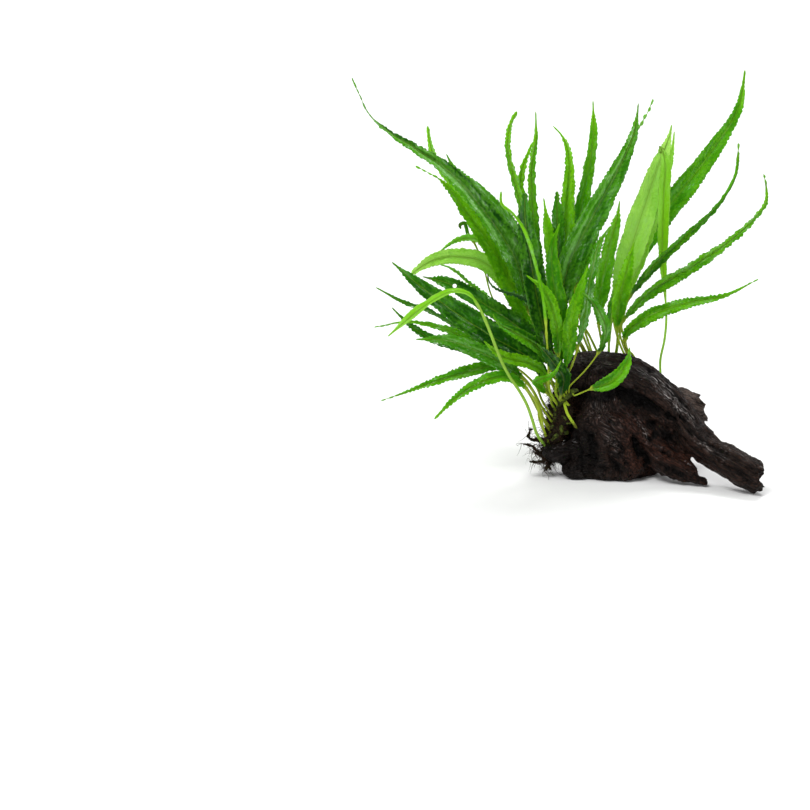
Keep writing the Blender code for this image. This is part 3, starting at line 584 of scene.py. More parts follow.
@dataclass(frozen=True)
class BarkFinish:
    """A matte finish of two colours in small spots. Colours are linear."""

    name: str
    dark: Colour
    light: Colour
    spots: Colour
    scale: float
    roughness: float

    def make(self) -> Finish:
        """Builds the material."""
        shader = Shader(self.name)
        spot = shader.noise(shader.place(), self.scale, 4.0)
        fine = shader.noise(shader.place(), self.scale * 5, 3.0)
        tone = shader.layered(
            self.dark,
            (self.light, shader.rise(spot, 0.35, 0.65)),
            (self.spots, shader.rise(fine, 0.52, 0.66) * 0.8),
        )
        skin = shader.skin(
            {
                "Base Color": tone,
                "Roughness": self.roughness + fine * 0.2,
                "Specular IOR Level": 0.15,
                "Normal": shader.bumped(fine, 0.3, 0.8),
            }
        )
        return shader.close(skin)


# ---- fronds


class Tip(Enum):
    """How a frond ends."""

    PLAIN = "plain"
    BEADED = "beaded"


@dataclass(frozen=True)
class Habit:
    """What sets one frond apart from the others of its age; lengths in millimetres.

    A beaded tip is a `thread` with bits of blade on it, a `bead` broad. Other ends are `blunt` by so much,
    and a `strap` is half the width of a narrow blade, up to its reach from the tip. `slim` and `breadth`
    are factors on the stalk and the blade, and `full` below 1 makes the upper part broader than its
    solid's. The margin's `ruffle` and the face's `quilt` are 1 for most. A `shade` of -1 is the deepest
    green of the finish and 1 the lightest, and `lit` paints one half lighter and the other darker, as
    painted light and shade; without a number they are left to chance. At the `crease`, a share of the half
    width, a ridge runs up the blade, and the finish paints a pale sheen on it. A `hole` has its place in
    the layout and its radius.
    """

    tip: Tip = Tip.PLAIN
    thread: float = 26.0
    bead: float = 1.1
    blunt: float = 0.6
    strap: float = 0.0
    strap_reach: float = 112.0
    ruffle: float = 1.0
    brown_tip: float = 0.0
    brown_stalk: float = 0.20
    quilt: float = 1.0
    slim: float = 1.0
    full: float = 0.82
    breadth: float = 1.0
    crease: float = 0.0
    shade: float | None = None
    lit: float | None = None
    hole: Point | None = None


HABITS = {
    "frond_far_left": Habit(
        Tip.BEADED, thread=42.0, bead=0.75, quilt=1.4, full=0.55, shade=-0.2, lit=0.9, crease=0.42
    ),
    "frond_left_lace_tip": Habit(Tip.BEADED, thread=24.0, bead=1.0, shade=-0.2),
    "frond_left_pale_tip": Habit(ruffle=0.8, blunt=1.3, shade=0.8),
    "frond_left_upper": Habit(shade=0.4, breadth=1.3),
    "frond_lace_tip": Habit(Tip.BEADED, thread=30.0, bead=1.6, ruffle=1.3, quilt=1.3, shade=0.6),
    "frond_broad_middle": Habit(quilt=1.4, full=0.70, shade=0.0, lit=0.4, crease=0.36),
    "frond_centre_glossy": Habit(blunt=2.2, full=0.45, breadth=1.15, shade=-1.6),
    "frond_hooked": Habit(blunt=1.5, full=0.50, shade=0.7),
    "frond_twin_left": Habit(blunt=1.0, shade=0.2),
    "frond_twin_right": Habit(full=0.62, shade=0.4),
    "frond_edge_on": Habit(blunt=0.9, shade=0.6, ruffle=0.6, full=1.25, breadth=0.42),
    "frond_sickle": Habit(full=0.55, shade=0.3, lit=-0.5, breadth=1.15),
    "frond_on_wood": Habit(slim=0.6),
    "frond_tall_middle": Habit(ruffle=0.8, full=0.46, shade=0.2, breadth=1.1),
    "frond_short_pointed": Habit(shade=-0.3, breadth=1.25),
    "frond_short_dark": Habit(blunt=1.7, full=0.45, shade=-0.5),
    "frond_drooping_dark": Habit(quilt=1.5, blunt=1.1, slim=0.6, shade=-0.5, crease=0.3),
    "frond_silver": Habit(quilt=1.4, shade=0.4, full=0.7, crease=-0.2),
    "frond_narrow_right": Habit(shade=0.3, breadth=1.2),
    "frond_left_two_tone": Habit(Tip.BEADED, thread=14.0, bead=0.8, shade=0.5),
    "frond_right_upper": Habit(
        Tip.BEADED, thread=11.0, bead=1.0, ruffle=0.8, blunt=1.2, full=0.62, shade=-0.6
    ),
    "frond_right_middle": Habit(Tip.BEADED, thread=9.0, bead=0.9, ruffle=1.1, full=0.62, shade=0.5),
    "frond_right_lower": Habit(Tip.BEADED, thread=10.0, bead=0.7, full=0.72, brown_stalk=0.7, shade=0.3),
    "frond_left_low_long": Habit(Tip.BEADED, thread=12.0, bead=0.8, ruffle=1.1, shade=0.3, lit=0.4),
    "frond_left_lowest": Habit(blunt=1.1, ruffle=1.1, shade=0.1, lit=0.3),
    "frond_left_holed": Habit(brown_tip=0.6, quilt=0.7, full=0.45, shade=-0.8, hole=(-112.6, 144.8, 1.5)),
    "frond_left_broad_dark": Habit(quilt=0.7, shade=-0.9),
    "frond_left_long_thin": Habit(quilt=0.7, shade=-0.5),
    "frond_left_behind": Habit(quilt=0.7, shade=-0.5),
    "frond_left_filler": Habit(quilt=0.6, shade=-1.5),
    "frond_left_thin_bright": Habit(ruffle=1.5, breadth=0.6, shade=1.5),
    "frond_left_front": Habit(quilt=1.2, shade=-0.9, lit=0.5, crease=-0.3),
    "frond_left_glossy": Habit(quilt=1.3, shade=0.3, crease=0.35),
    "frond_upright_stem": Habit(brown_tip=0.7, blunt=1.0, strap=2.3, ruffle=0.4, quilt=0.5, shade=-1.0),
    "frond_light_broad": Habit(ruffle=0.8, quilt=0.9, shade=0.8, lit=0.2),
    "frond_light_behind": Habit(ruffle=0.8, quilt=0.9, shade=-0.4),
    "frond_tall_right": Habit(ruffle=0.8, quilt=0.9, blunt=0.9, full=0.62, shade=-0.35),
    "frond_front_bright": Habit(ruffle=0.9, quilt=0.5, shade=-1.6),
    "frond_front_small_left": Habit(shade=-0.6),
    "frond_front_right": Habit(shade=-0.7),
    "frond_left_arch_pale": Habit(ruffle=0.8, blunt=2.2, full=0.55, shade=0.2, lit=-0.2),
    "frond_left_arch_high": Habit(shade=1.2),
    "frond_withered": Habit(ruffle=2.4, brown_tip=0.3, brown_stalk=0.6, slim=1.2, breadth=1.2),
    "frond_bent_stem": Habit(ruffle=0.3, quilt=0.2, slim=1.3, brown_stalk=0.0, shade=-0.6),
    "fiddlehead": Habit(
        ruffle=0.0, quilt=0.0, blunt=1.1, strap=1.5, strap_reach=26.0, brown_tip=0.8, shade=-0.8
    ),
    "petiole_cut_off": Habit(ruffle=0.0, quilt=0.0, brown_tip=1.0, brown_stalk=0.0),
}


@dataclass(frozen=True)
class Spine:
    """A frond as its solid gives it, from the rhizome to the tip, in millimetres."""

    centre: Array
    across: Array
    lift: Array
    face: Array

    @classmethod
    def read(cls, node: Piece) -> Spine:
        """Reads the rings of four points that a frond's solid is lofted through."""
        mesh = bmesh.new()
        mesh.from_mesh(node.data)
        bmesh.ops.remove_doubles(mesh, verts=mesh.verts, dist=1e-6)
        rings = next(
            rings
            for rings in (cls._rings_from(vertex) for vertex in mesh.verts if len(vertex.link_edges) == 4)
            if all(len(ring) == 4 for ring in rings[1:])
        )
        placed = [[cls._order(ring), np.array([vertex.co / MM for vertex in ring])] for ring in rings[:0:-1]]
        tip = np.array(rings[0][0].co) / MM
        mesh.free()
        return cls._frames([points[order] for order, points in placed], tip)

    @staticmethod
    def _rings_from(tip: bmesh.types.BMVert) -> list[list[bmesh.types.BMVert]]:
        """The vertices at each number of edges from a vertex."""
        rings, met = [[tip]], {tip}
        while rings[-1]:
            ring = []
            for vertex in rings[-1]:
                for edge in vertex.link_edges:
                    other = edge.other_vert(vertex)
                    if other not in met:
                        met.add(other)
                        ring.append(other)
            rings.append(ring)
        return rings[:-1]

    @staticmethod
    def _order(ring: list[bmesh.types.BMVert]) -> list[int]:
        """The four vertices of a ring, taken round it."""
        beside = [{edge.other_vert(vertex) for edge in vertex.link_edges} for vertex in ring]
        rounds = ([0, *rest] for rest in permutations((1, 2, 3)))
        return next(turn for turn in rounds if all(ring[turn[k - 1]] in beside[turn[k]] for k in range(4)))

    @classmethod
    def _frames(cls, rings: list[Array], tip: Array) -> Spine:
        """Tells margins from faces in each ring, and keeps them on the same side all along."""

        def breadth(ring: int, k: int) -> float:
            """How far corner k of a ring is from the one across."""
            return np.linalg.norm(rings[ring][k] - rings[ring][k + 2])

        widest, first = max(np.ndindex(len(rings), 2), key=lambda pair: breadth(*pair))
        turned = {widest: np.roll(rings[widest], -first, axis=0)}
        for step in (1, -1):
            i = widest + step
            while 0 <= i < len(rings):
                before = turned[i - step][0] - turned[i - step][2]
                turned[i] = max(
                    (np.roll(rings[i], -k, axis=0) for k in range(4)),
                    key=lambda ring: unit(ring[0] - ring[2]) @ unit(before),
                )
                i += step
        ring = np.array([turned[i] for i in range(len(rings))])
        centre = (ring[:, 1] + ring[:, 3]) / 2
        across = (ring[:, 0] - ring[:, 2]) / 2
        lift = (ring[:, 0] + ring[:, 2]) / 2 - centre
        path = np.vstack([centre, tip])
        face = unit(np.cross(np.gradient(path, axis=0)[:-1], across))
        return cls(
            path,
            np.vstack([across, across[-1] * 0.2]),
            np.vstack([lift, lift[-1] * 0]),
            np.vstack([face, face[-1]]),
        )


@dataclass(frozen=True)
class Course:
    """A frond's rings from its foot to its tip, in millimetres.

    The `marks` are their distances along it, `half` is half the width, and `flat` is 0 on the round stalk
    and 1 on the blade, which begins at `start`.
    """

    marks: Array
    middle: Array
    across: Array
    lift: Array
    face: Array
    half: Array
    flat: Array
    start: float
    length: float


@dataclass(frozen=True)
class Spots:
    """A frond's vertices.

    The `share` runs from -1 to 1 across it, and `from_foot` from 0 to 1 up its blade. They lie so many
    millimetres `along` it and `beside` its midrib. The rest is its relief: the `phase` of the side veins,
    the `veins`, `lumps` and `folds`, and how strong they are, the `quilt`.
    """

    share: Array
    along: Array
    from_foot: Array
    beside: Array
    phase: Array
    veins: Array
    lumps: Array
    folds: Array
    quilt: Array

    @property
    def edge(self) -> Array:
        """0 on the midrib and 1 on the margins."""
        return np.abs(self.share)

    def at(self, rows: list[int]) -> Spots:
        """The spots of other vertices, each of which is where one of these was."""
        return Spots(**{name: values[rows] for name, values in vars(self).items()})


@dataclass
class Frond:
    """One frond: a round stalk that widens into a thin quilted blade with a wavy margin.

    Lengths are in millimetres. The rings stand a step apart, closer near the tip. The stalk is `sunk` into
    the rhizome, the midrib is as high as the `rib`, the margins are raised by the `fold`, and a `strand` is
    the bare part of a thread-like tip.
    """

    node: Piece
    box: Box
    habit: Habit
    number: int
    stalk_step: float = 2.2
    blade_step: float = 0.46
    tip_step: float = 0.45
    tip_reach: float = 26.0
    sunk: float = 1.6
    lamina: float = 0.15
    rib: float = 0.20
    rib_breadth: float = 0.6
    fold: float = 1.6
    thinnest: float = 0.12
    strand: float = 0.27
    tooth_spacing: float = 3.3
    tooth_depth: float = 0.95
    wave_height: float = 0.50
    wave_length: float = 1.6
    vein_spacing: float = 4.2
    vein_slant: float = 0.9

    def build(self) -> Piece:
        """Makes the frond's mesh, still without its material, and paints what the material reads."""
        rng = np.random.default_rng(SEED + self.number)
        course = self._course()
        piece, ring, turn = self._ball(course)
        last = len(course.marks) - 1
        i = np.clip(ring, 0, last)
        spots, wave = self._spots(rng, course, i, turn)
        points = self._points(course, i, turn, spots, wave)
        points[ring < 0] = course.middle[0]
        points[ring > last] = course.middle[-1]
        points = self.box.hold(points)
        reshape(piece, points)
        self._turn_out(piece)
        if self.habit.hole:
            spots = spots.at(self._pierced(piece, points))
        self._paint(piece, rng, course.length, spots)
        return piece

    @property
    def _beaded(self) -> bool:
        """Whether the frond ends in a thread with bits of blade on it."""
        return self.habit.tip is Tip.BEADED

    def _course(self) -> Course:
        """The frond's rings, from its solid's spine and its habit."""
        spine = Spine.read(self.node)
        knots = lengths_along(spine.centre)
        knots[0] = -self.sunk
        root = spine.centre[0] + (spine.centre[0] - spine.centre[1]) / (knots[1] + self.sunk) * self.sunk
        marks = self._stations(knots, np.linalg.norm(spine.across, axis=1))
        middle = eased(knots, np.vstack([root, spine.centre[1:]]), marks)
        across = eased(knots, spine.across, marks)
        left = knots[-1] - marks
        half = self._half(np.linalg.norm(across, axis=1), left)
        across = self._faced(middle, unit(across), left)
        face = eased(knots, spine.face, marks)
        face = unit(face - across * (face * across).sum(axis=1)[:, None])
        flat = smoothstep(half, 1.05, 2.6)
        start = float(marks[np.argmax(flat > 0.05)]) if flat.max() > 0.05 else knots[-1] * 0.97
        lift = eased(knots, spine.lift, marks)
        return Course(marks, middle, across, lift, face, half, flat, start, knots[-1])

    def _ball(self, course: Course) -> tuple[Piece, Array, Array]:
        """Makes a ball with as many rings of vertices as the frond has.

        Args:
            course: The frond's rings.

        Returns:
            The ball, the number of each vertex's ring, which is outside the list at the poles, and its
            turn round the ball in radians.
        """
        rings = len(course.marks)
        sides = int(np.clip(2 * round(course.half.max() * 1.15) + 16, 18, 40))
        bpy.ops.mesh.primitive_uv_sphere_add(segments=sides, ring_count=rings + 1, radius=1.0)
        piece = bpy.context.object
        piece.name = piece.data.name = f"{self.node.name}_leaf"
        x, y, z = (corners(piece) * MM).T
        ring = np.rint(np.arccos(np.clip(-z, -1, 1)) / math.pi * (rings + 1)).astype(int) - 1
        column = np.rint(np.arctan2(y, x) / (2 * math.pi) * sides).astype(int) % sides
        return piece, ring, column / sides * 2 * math.pi

    def _spots(self, rng: Chance, course: Course, i: Array, turn: Array) -> tuple[Spots, Array]:
        """Lays the frond out flat.

        Args:
            rng: Its source of chance.
            course: Its rings.
            i: Each vertex's ring.
            turn: Each vertex's turn round it.

        Returns:
            Its spots, and how far the margin waves up and down at each.
        """
        half, flat, along = course.half[i], course.flat[i], course.marks[i]
        wedge = 1 - 2 * np.abs(turn / math.pi - np.where(turn <= math.pi, 0, 2))
        share = flat * wedge + (1 - flat) * np.cos(turn)
        side, edge = np.sign(share), np.abs(share)
        sway = rng.uniform(0, 2 * math.pi, 3)[0]
        reach = smoothstep(half, 0.4, 2.0) * self.habit.ruffle
        width = half
        if self._beaded:
            beads = self._beads(rng, along, side, course.length)
            loose = smoothstep(course.length - along, self.habit.thread, self.habit.thread * 0.8)
            width = (1 - loose) * half + loose * (self.strand + beads)
        teeth = math.pi * along / self.tooth_spacing + 2.6 * self._wander(along, side, 9.0, 1)
        uneven = 0.75 + 0.6 * self._wander(along, side, 6.0, 8)
        notches = self.tooth_depth * (np.abs(np.sin(teeth)) - 0.6) * uneven
        notches = notches + 0.40 * self._wander(along, side, 1.3, 2)
        swing = along / self.wave_length + sway + side * 1.7 + 2.6 * self._wander(along, side, 12.0, 3)
        wave = self.wave_height * (np.sin(swing) + self._wander(along, side, 2.0, 4))
        beside = share * (width + reach * (notches - 0.12) * edge**3)
        phase = (along - course.start - self.vein_slant * np.abs(beside)) / self.vein_spacing
        phase = phase + 0.6 * self._wander(along, side, 6.0, 5)
        place = np.column_stack([beside, along, np.full(len(i), self.number * 9.0)])
        spots = Spots(
            share=share,
            along=along,
            from_foot=np.clip((along - course.start) / (course.length - course.start), 0, 1),
            beside=beside,
            phase=phase,
            veins=np.abs(np.sin(math.pi * phase)) ** 0.8,
            lumps=lattice_noise(place / (1.5, 3.0, 1), 3) + 0.5 * lattice_noise(place / (0.8, 1.5, 1), 4),
            folds=lattice_noise(place / (2.6, 17.0, 1), 6),
            quilt=self.habit.quilt * smoothstep(half, 1.2, 5.0),
        )
        return spots, reach * edge**2.2 * wave

    def _points(self, course: Course, i: Array, turn: Array, spots: Spots, wave: Array) -> Array:
        """Where each vertex goes; the arguments are those and the results of `_spots`."""
        half, flat, edge = course.half[i], course.flat[i], spots.edge
        pillow = spots.veins * np.sin(math.pi * np.clip(edge, 0, 1)) ** 0.6
        uneven = 0.08 * (pillow - 0.5) + (0.26 * spots.lumps + 0.55 * spots.folds) * (1 - edge**4)
        bulge = spots.quilt * uneven + 0.7 * self._crease(spots)
        top = np.where(turn <= math.pi, 1.0, -1.0)
        rib = self.rib * np.where(top < 0, 1.0, 0.5) * (1 - 0.6 * spots.from_foot)
        rib = rib * np.exp(-((spots.beside / self.rib_breadth) ** 2))
        thick = self.lamina * np.sqrt(np.clip(1 - edge**8, 0, 1)) + rib
        most = np.maximum(half, 0.1) * np.sqrt(np.clip(1 - edge**2, 0, 1)) + 1e-3
        height = flat * top * np.minimum(thick, most) + (1 - flat) * (half * 0.95 * np.sin(turn))
        return (
            course.middle[i]
            + course.across[i] * (spots.beside * (0.93 + 0.07 * flat))[:, None]
            + course.lift[i] * (self.fold * edge**1.3)[:, None]
            + course.face[i] * (height + bulge + wave)[:, None]
        )

    def _paint(self, piece: Piece, rng: Chance, length: float, spots: Spots) -> None:
        """Paints what the material reads."""
        habit = self.habit
        shade = rng.uniform(-0.5, 0.5) if habit.shade is None else habit.shade
        lit = rng.uniform(-0.35, 0.35) if habit.lit is None else habit.lit
        # The frond's own tone, plus painted light and shade from lit: one half lighter, the other darker
        tone_and_lit_half = shade + lit * np.clip(spots.share * 5, -1, 1)
        if self._beaded:
            tone_and_lit_half = tone_and_lit_half + 1.2 * smoothstep(length - spots.along, habit.thread * 1.3, habit.thread * 0.5)
        paint(piece, "leaf", np.column_stack([spots.share, spots.from_foot, tone_and_lit_half]))
        paint(piece, "vein", np.column_stack([spots.beside, spots.along + 50, spots.phase + 40]))
        raised = spots.quilt * (0.40 + 0.34 * spots.veins + 0.50 * spots.folds) * (1 - 0.5 * spots.edge**6)
        raised = np.clip(raised + 0.25 * spots.lumps, 0, 1.2)
        # The relief also carries the crease, on which the finish paints a pale sheen as painted light
        paint(piece, "relief", raised + 1.1 * self._crease(spots))
        paint(piece, "brown", self._brown(length, spots))

    def _pierced(self, piece: Piece, points: Array) -> list[int]:
        """Cuts the habit's hole, and hands back which old vertex each new one lies nearest to."""
        across, up, radius = self.habit.hole
        eye = Eye()
        place, way = eye.touch(across, up, points), eye.ray(across, up)
        turn = Vector(way).to_track_quat("Z", "Y").to_euler()
        bpy.ops.mesh.primitive_cylinder_add(
            vertices=20, radius=radius * MM, depth=8 * MM, location=place * MM, rotation=turn
        )
        drill = bpy.context.object
        hole = piece.modifiers.new("hole", "BOOLEAN")
        hole.solver = "EXACT"
        hole.operation = "DIFFERENCE"
        hole.object = drill
        finished(piece, hole)
        bpy.data.objects.remove(drill)
        tree = KDTree(len(points))
        for number, point in enumerate(points):
            tree.insert(point, number)
        tree.balance()
        return [tree.find(point)[1] for point in corners(piece)]

    def _half(self, solid: Array, left: Array) -> Array:
        """Half the frond's width: fuller above its broadest place and slimmer on its stalk.

        Args:
            solid: The half widths of its solid.
            left: How far the tip is from each.

        Returns:
            The new half widths, with the habit's blunt or strap-shaped end.
        """
        habit = self.habit
        broadest = solid.argmax()
        full = habit.full + (1 - habit.full) * smoothstep(left, 16.0, 1.0)
        above = solid[broadest] * (solid / solid[broadest]) ** full
        stalk = solid * (habit.slim + (1 - habit.slim) * smoothstep(solid, 1.0, 1.8))
        half = np.where(np.arange(len(solid)) > broadest, above, stalk)
        half = half * (1 + (habit.breadth - 1) * smoothstep(solid, 1.0, 2.0))
        stub = habit.blunt * np.sqrt(np.clip(left / 2.0, 0, 1)) * smoothstep(left, 40, 12)
        strap = habit.strap * smoothstep(left, habit.strap_reach, habit.strap_reach * 0.88)
        strap = strap * np.sqrt(np.clip(left / 4.0, 0, 1))
        return np.maximum(np.hypot(half, stub), np.maximum(strap, self.thinnest))

    @staticmethod
    def _faced(middle: Array, across: Array, left: Array) -> Array:
        """Turns the last stretch of a frond flat to the front, as narrow tips hang."""
        tangent = unit(np.gradient(middle, axis=0))
        flat = unit(np.cross(tangent, [0.0, 1.0, 0.0]))
        flat *= np.where((flat * across).sum(axis=1) < 0, -1.0, 1.0)[:, None]
        share = (0.85 * smoothstep(left, 45, 12))[:, None]
        return unit(across * (1 - share) + flat * share)

    def _wander(self, along: Array, side: Array, cell: float, seed: int) -> Array:
        """Noise along the frond, different on its two sides; one cell is so many millimetres long."""
        place = np.column_stack([along / cell, side * 7.3, np.full(len(along), self.number * 3.7)])
        return lattice_noise(place, seed)

    def _crease(self, spots: Spots) -> Array:
        """How near each spot is to the crest of the habit's pale ridge, from 0 to 1."""
        # The ridge itself is raised in the mesh; its paleness is a sheen painted by the finish
        if not self.habit.crease:
            return np.zeros(len(spots.share))
        bend = self._wander(spots.along, np.zeros(len(spots.along)), 22.0, 7)
        away = (spots.share - self.habit.crease - 0.10 * bend) / 0.11
        ends = smoothstep(spots.from_foot, 0.10, 0.35) * smoothstep(spots.from_foot, 1.0, 0.8)
        return np.exp(-(away**2)) * ends

    def _beads(self, rng: Chance, along: Array, side: Array, length: float) -> Array:
        """How far the bits of blade on a thread-like tip stand out from it."""
        reach, place = np.zeros(len(along)), length - 2.0
        while place > length - self.habit.thread:
            size = rng.uniform(0.5, 1.0) * self.habit.bead * np.where(side == rng.choice((-1, 1)), 1.0, 0.5)
            reach = np.maximum(reach, size * np.exp(-(np.abs((along - place) / rng.uniform(1.2, 2.6)) ** 4)))
            place -= rng.uniform(3.6, 6.6)
        return reach

    def _stations(self, knots: Array, half: Array) -> Array:
        """Where the frond's rings stand: closer on the blade and closest near the tip."""
        places = np.linspace(knots[0], knots[-1], 2000)
        width = np.interp(places, knots, half)
        step = np.where(width > 1.15, self.blade_step, self.stalk_step)
        fine = max(self.tip_reach, (self.habit.thread + 4) * self._beaded)
        step = np.where(places > knots[-1] - fine, self.tip_step, step)
        if self.habit.ruffle == 0:
            step = np.full(len(places), self.tip_step)
        count = np.concatenate([[0], np.cumsum(np.diff(places) / step[1:])])
        return np.interp(np.linspace(0, count[-1], int(count[-1]) + 2), count, places)

    def _brown(self, length: float, spots: Spots) -> Array:
        """How brown each spot is: at the foot of the stalk, at a dying tip, and in a few flecks."""
        foot = self.habit.brown_stalk * smoothstep(spots.along, 48.0, 0.0)
        tip = self.habit.brown_tip * smoothstep(length - spots.along, 12.0, 2.0)
        dry = self.habit.brown_tip * 0.45 * spots.edge**6 * smoothstep(spots.from_foot, 0.4, 1.0)
        return np.clip(np.maximum(foot, tip) + dry + 0.15 * np.clip(spots.lumps - 0.5, 0, 1), 0, 1)

    @staticmethod
    def _turn_out(piece: Piece) -> None:
        """Turns the faces outwards."""
        mesh = bmesh.new()
        mesh.from_mesh(piece.data)
        inside_out = mesh.calc_volume(signed=True) < 0
        mesh.free()
        if inside_out:
            choose(piece)
            bpy.ops.object.mode_set(mode="EDIT")
            bpy.ops.mesh.select_all(action="SELECT")
            bpy.ops.mesh.flip_normals()
            bpy.ops.object.mode_set(mode="OBJECT")


LEAF_FINISHES = {
    finish.slot: finish
    for finish in (
        LeafFinish("frond_dark", deep=(0.006, 0.054, 0.002), lamina=(0.043, 0.250, 0.003),
                   light=(0.125, 0.450, 0.014), rib=(0.220, 0.360, 0.020), stalk=(0.440, 0.540, 0.040),
                   glow=(0.090, 0.480, 0.003), translucence=0.22, roughness=0.30, coat=1.0),
        LeafFinish("frond_green", deep=(0.016, 0.118, 0.002), lamina=(0.090, 0.395, 0.003),
                   light=(0.220, 0.620, 0.008), rib=(0.240, 0.400, 0.018), stalk=(0.460, 0.570, 0.045),
                   glow=(0.200, 0.660, 0.003), translucence=0.26, roughness=0.34, coat=0.6),
        LeafFinish("frond_bright", deep=(0.032, 0.190, 0.002), lamina=(0.150, 0.490, 0.003),
                   light=(0.280, 0.690, 0.010), rib=(0.170, 0.340, 0.010), stalk=(0.460, 0.580, 0.045),
                   glow=(0.320, 0.800, 0.003), translucence=0.30, roughness=0.38, coat=0.4),
        LeafFinish("frond_pale", deep=(0.210, 0.540, 0.008), lamina=(0.350, 0.730, 0.090),
                   light=(0.540, 0.850, 0.180), rib=(0.190, 0.260, 0.020), stalk=(0.360, 0.570, 0.085),
                   glow=(0.500, 0.900, 0.020), translucence=0.34, roughness=0.40, coat=0.2),
        LeafFinish("frond_withered", deep=(0.006, 0.038, 0.005), lamina=(0.015, 0.090, 0.012),
                   light=(0.050, 0.180, 0.030), rib=(0.040, 0.060, 0.008), stalk=(0.040, 0.060, 0.010),
                   glow=(0.060, 0.160, 0.006), translucence=0.10, roughness=0.45, coat=0.4),
    )
}


@dataclass
class Foliage:
    """All the fronds."""

    nodes: dict[str, Piece]
    slots: dict[str, str]
    box: Box

    def build(self) -> None:
        """Makes every frond, each in its own piece."""
        skins = {slot: finish.make() for slot, finish in LEAF_FINISHES.items()}
        names = [name for name in self.slots if self.slots[name] in LEAF_FINISHES]
        for number, name in enumerate(names):
            frond = Frond(self.nodes[name], self.box, HABITS.get(name, Habit()), number)
            hand_over(frond.build(), skins[self.slots[name]], self.slots[name], name)


# ---- the viewer's eye


@dataclass(frozen=True)
class Eye:
    """The photograph's point of view, and the flat layout that it gives, in millimetres."""

    tilt: float = 13.0
    lens: float = 100.0
    place: Point = (-150.0, -1632.7, 429.6)
    across: float = -150.0
    up: float = 54.75
    distance: float = 1687.5

    def ray(self, across: float, up: float) -> Array:
        """The direction from the eye to a point of the layout."""
        tilt = math.radians(self.tilt)
        ahead = np.array([0, math.cos(tilt), -math.sin(tilt)])
        upright = np.array([0, math.sin(tilt), math.cos(tilt)])
        return unit(
            np.array([1.0, 0, 0]) * (across - self.across) + upright * (up - self.up) + ahead * self.distance
        )

    def layout(self, points: Array) -> tuple[Array, Array]:
        """Where points are seen: across and up in the layout."""
        tilt = math.radians(self.tilt)
        seen = points - np.array(self.place)
        depth = seen @ np.array([0, math.cos(tilt), -math.sin(tilt)]) / self.distance
        upright = seen @ np.array([0, math.sin(tilt), math.cos(tilt)])
        return self.across + seen[:, 0] / depth, self.up + upright / depth

    def touch(self, across: float, up: float, points: Array) -> Array:
        """The vertex of a surface that the eye meets first at a spot of the layout."""
        way = self.ray(across, up)
        seen = points - np.array(self.place)
        depth = seen @ way
        aside = np.linalg.norm(seen - depth[:, None] * way, axis=1)
        return points[np.argmin(depth + 40 * np.maximum(aside - 0.8, 0))]


# ---- driftwood


@dataclass(frozen=True)
class Grain:
    """A line that the wood's fibres follow, in millimetres.

    The wood along it is so `reddish`, and lighter where it is `worn`; a negative `worn` makes it darker, as
    painted shade. A broken `end` gives, for rising heights of the layout, how far right the eye sees the
    `limb` reach, the part of that number.
    """

    route: tuple[Point, ...]
    reddish: float
    worn: float = 0.0
    limb: int = 0
    end: tuple[tuple[float, float], ...] = ()


@dataclass(frozen=True)
class Bearing:
    """Points from a grain line: their places in its frame, how far it is, and how far along is its end."""

    place: Array
    apart: Array
    left: Array


@dataclass(frozen=True)
class Groove:
    """A crack, a pit or, with a negative depth, a ridge, along a line of the layout."""

    route: tuple[tuple[float, float], ...]
    radius: float
    depth: float


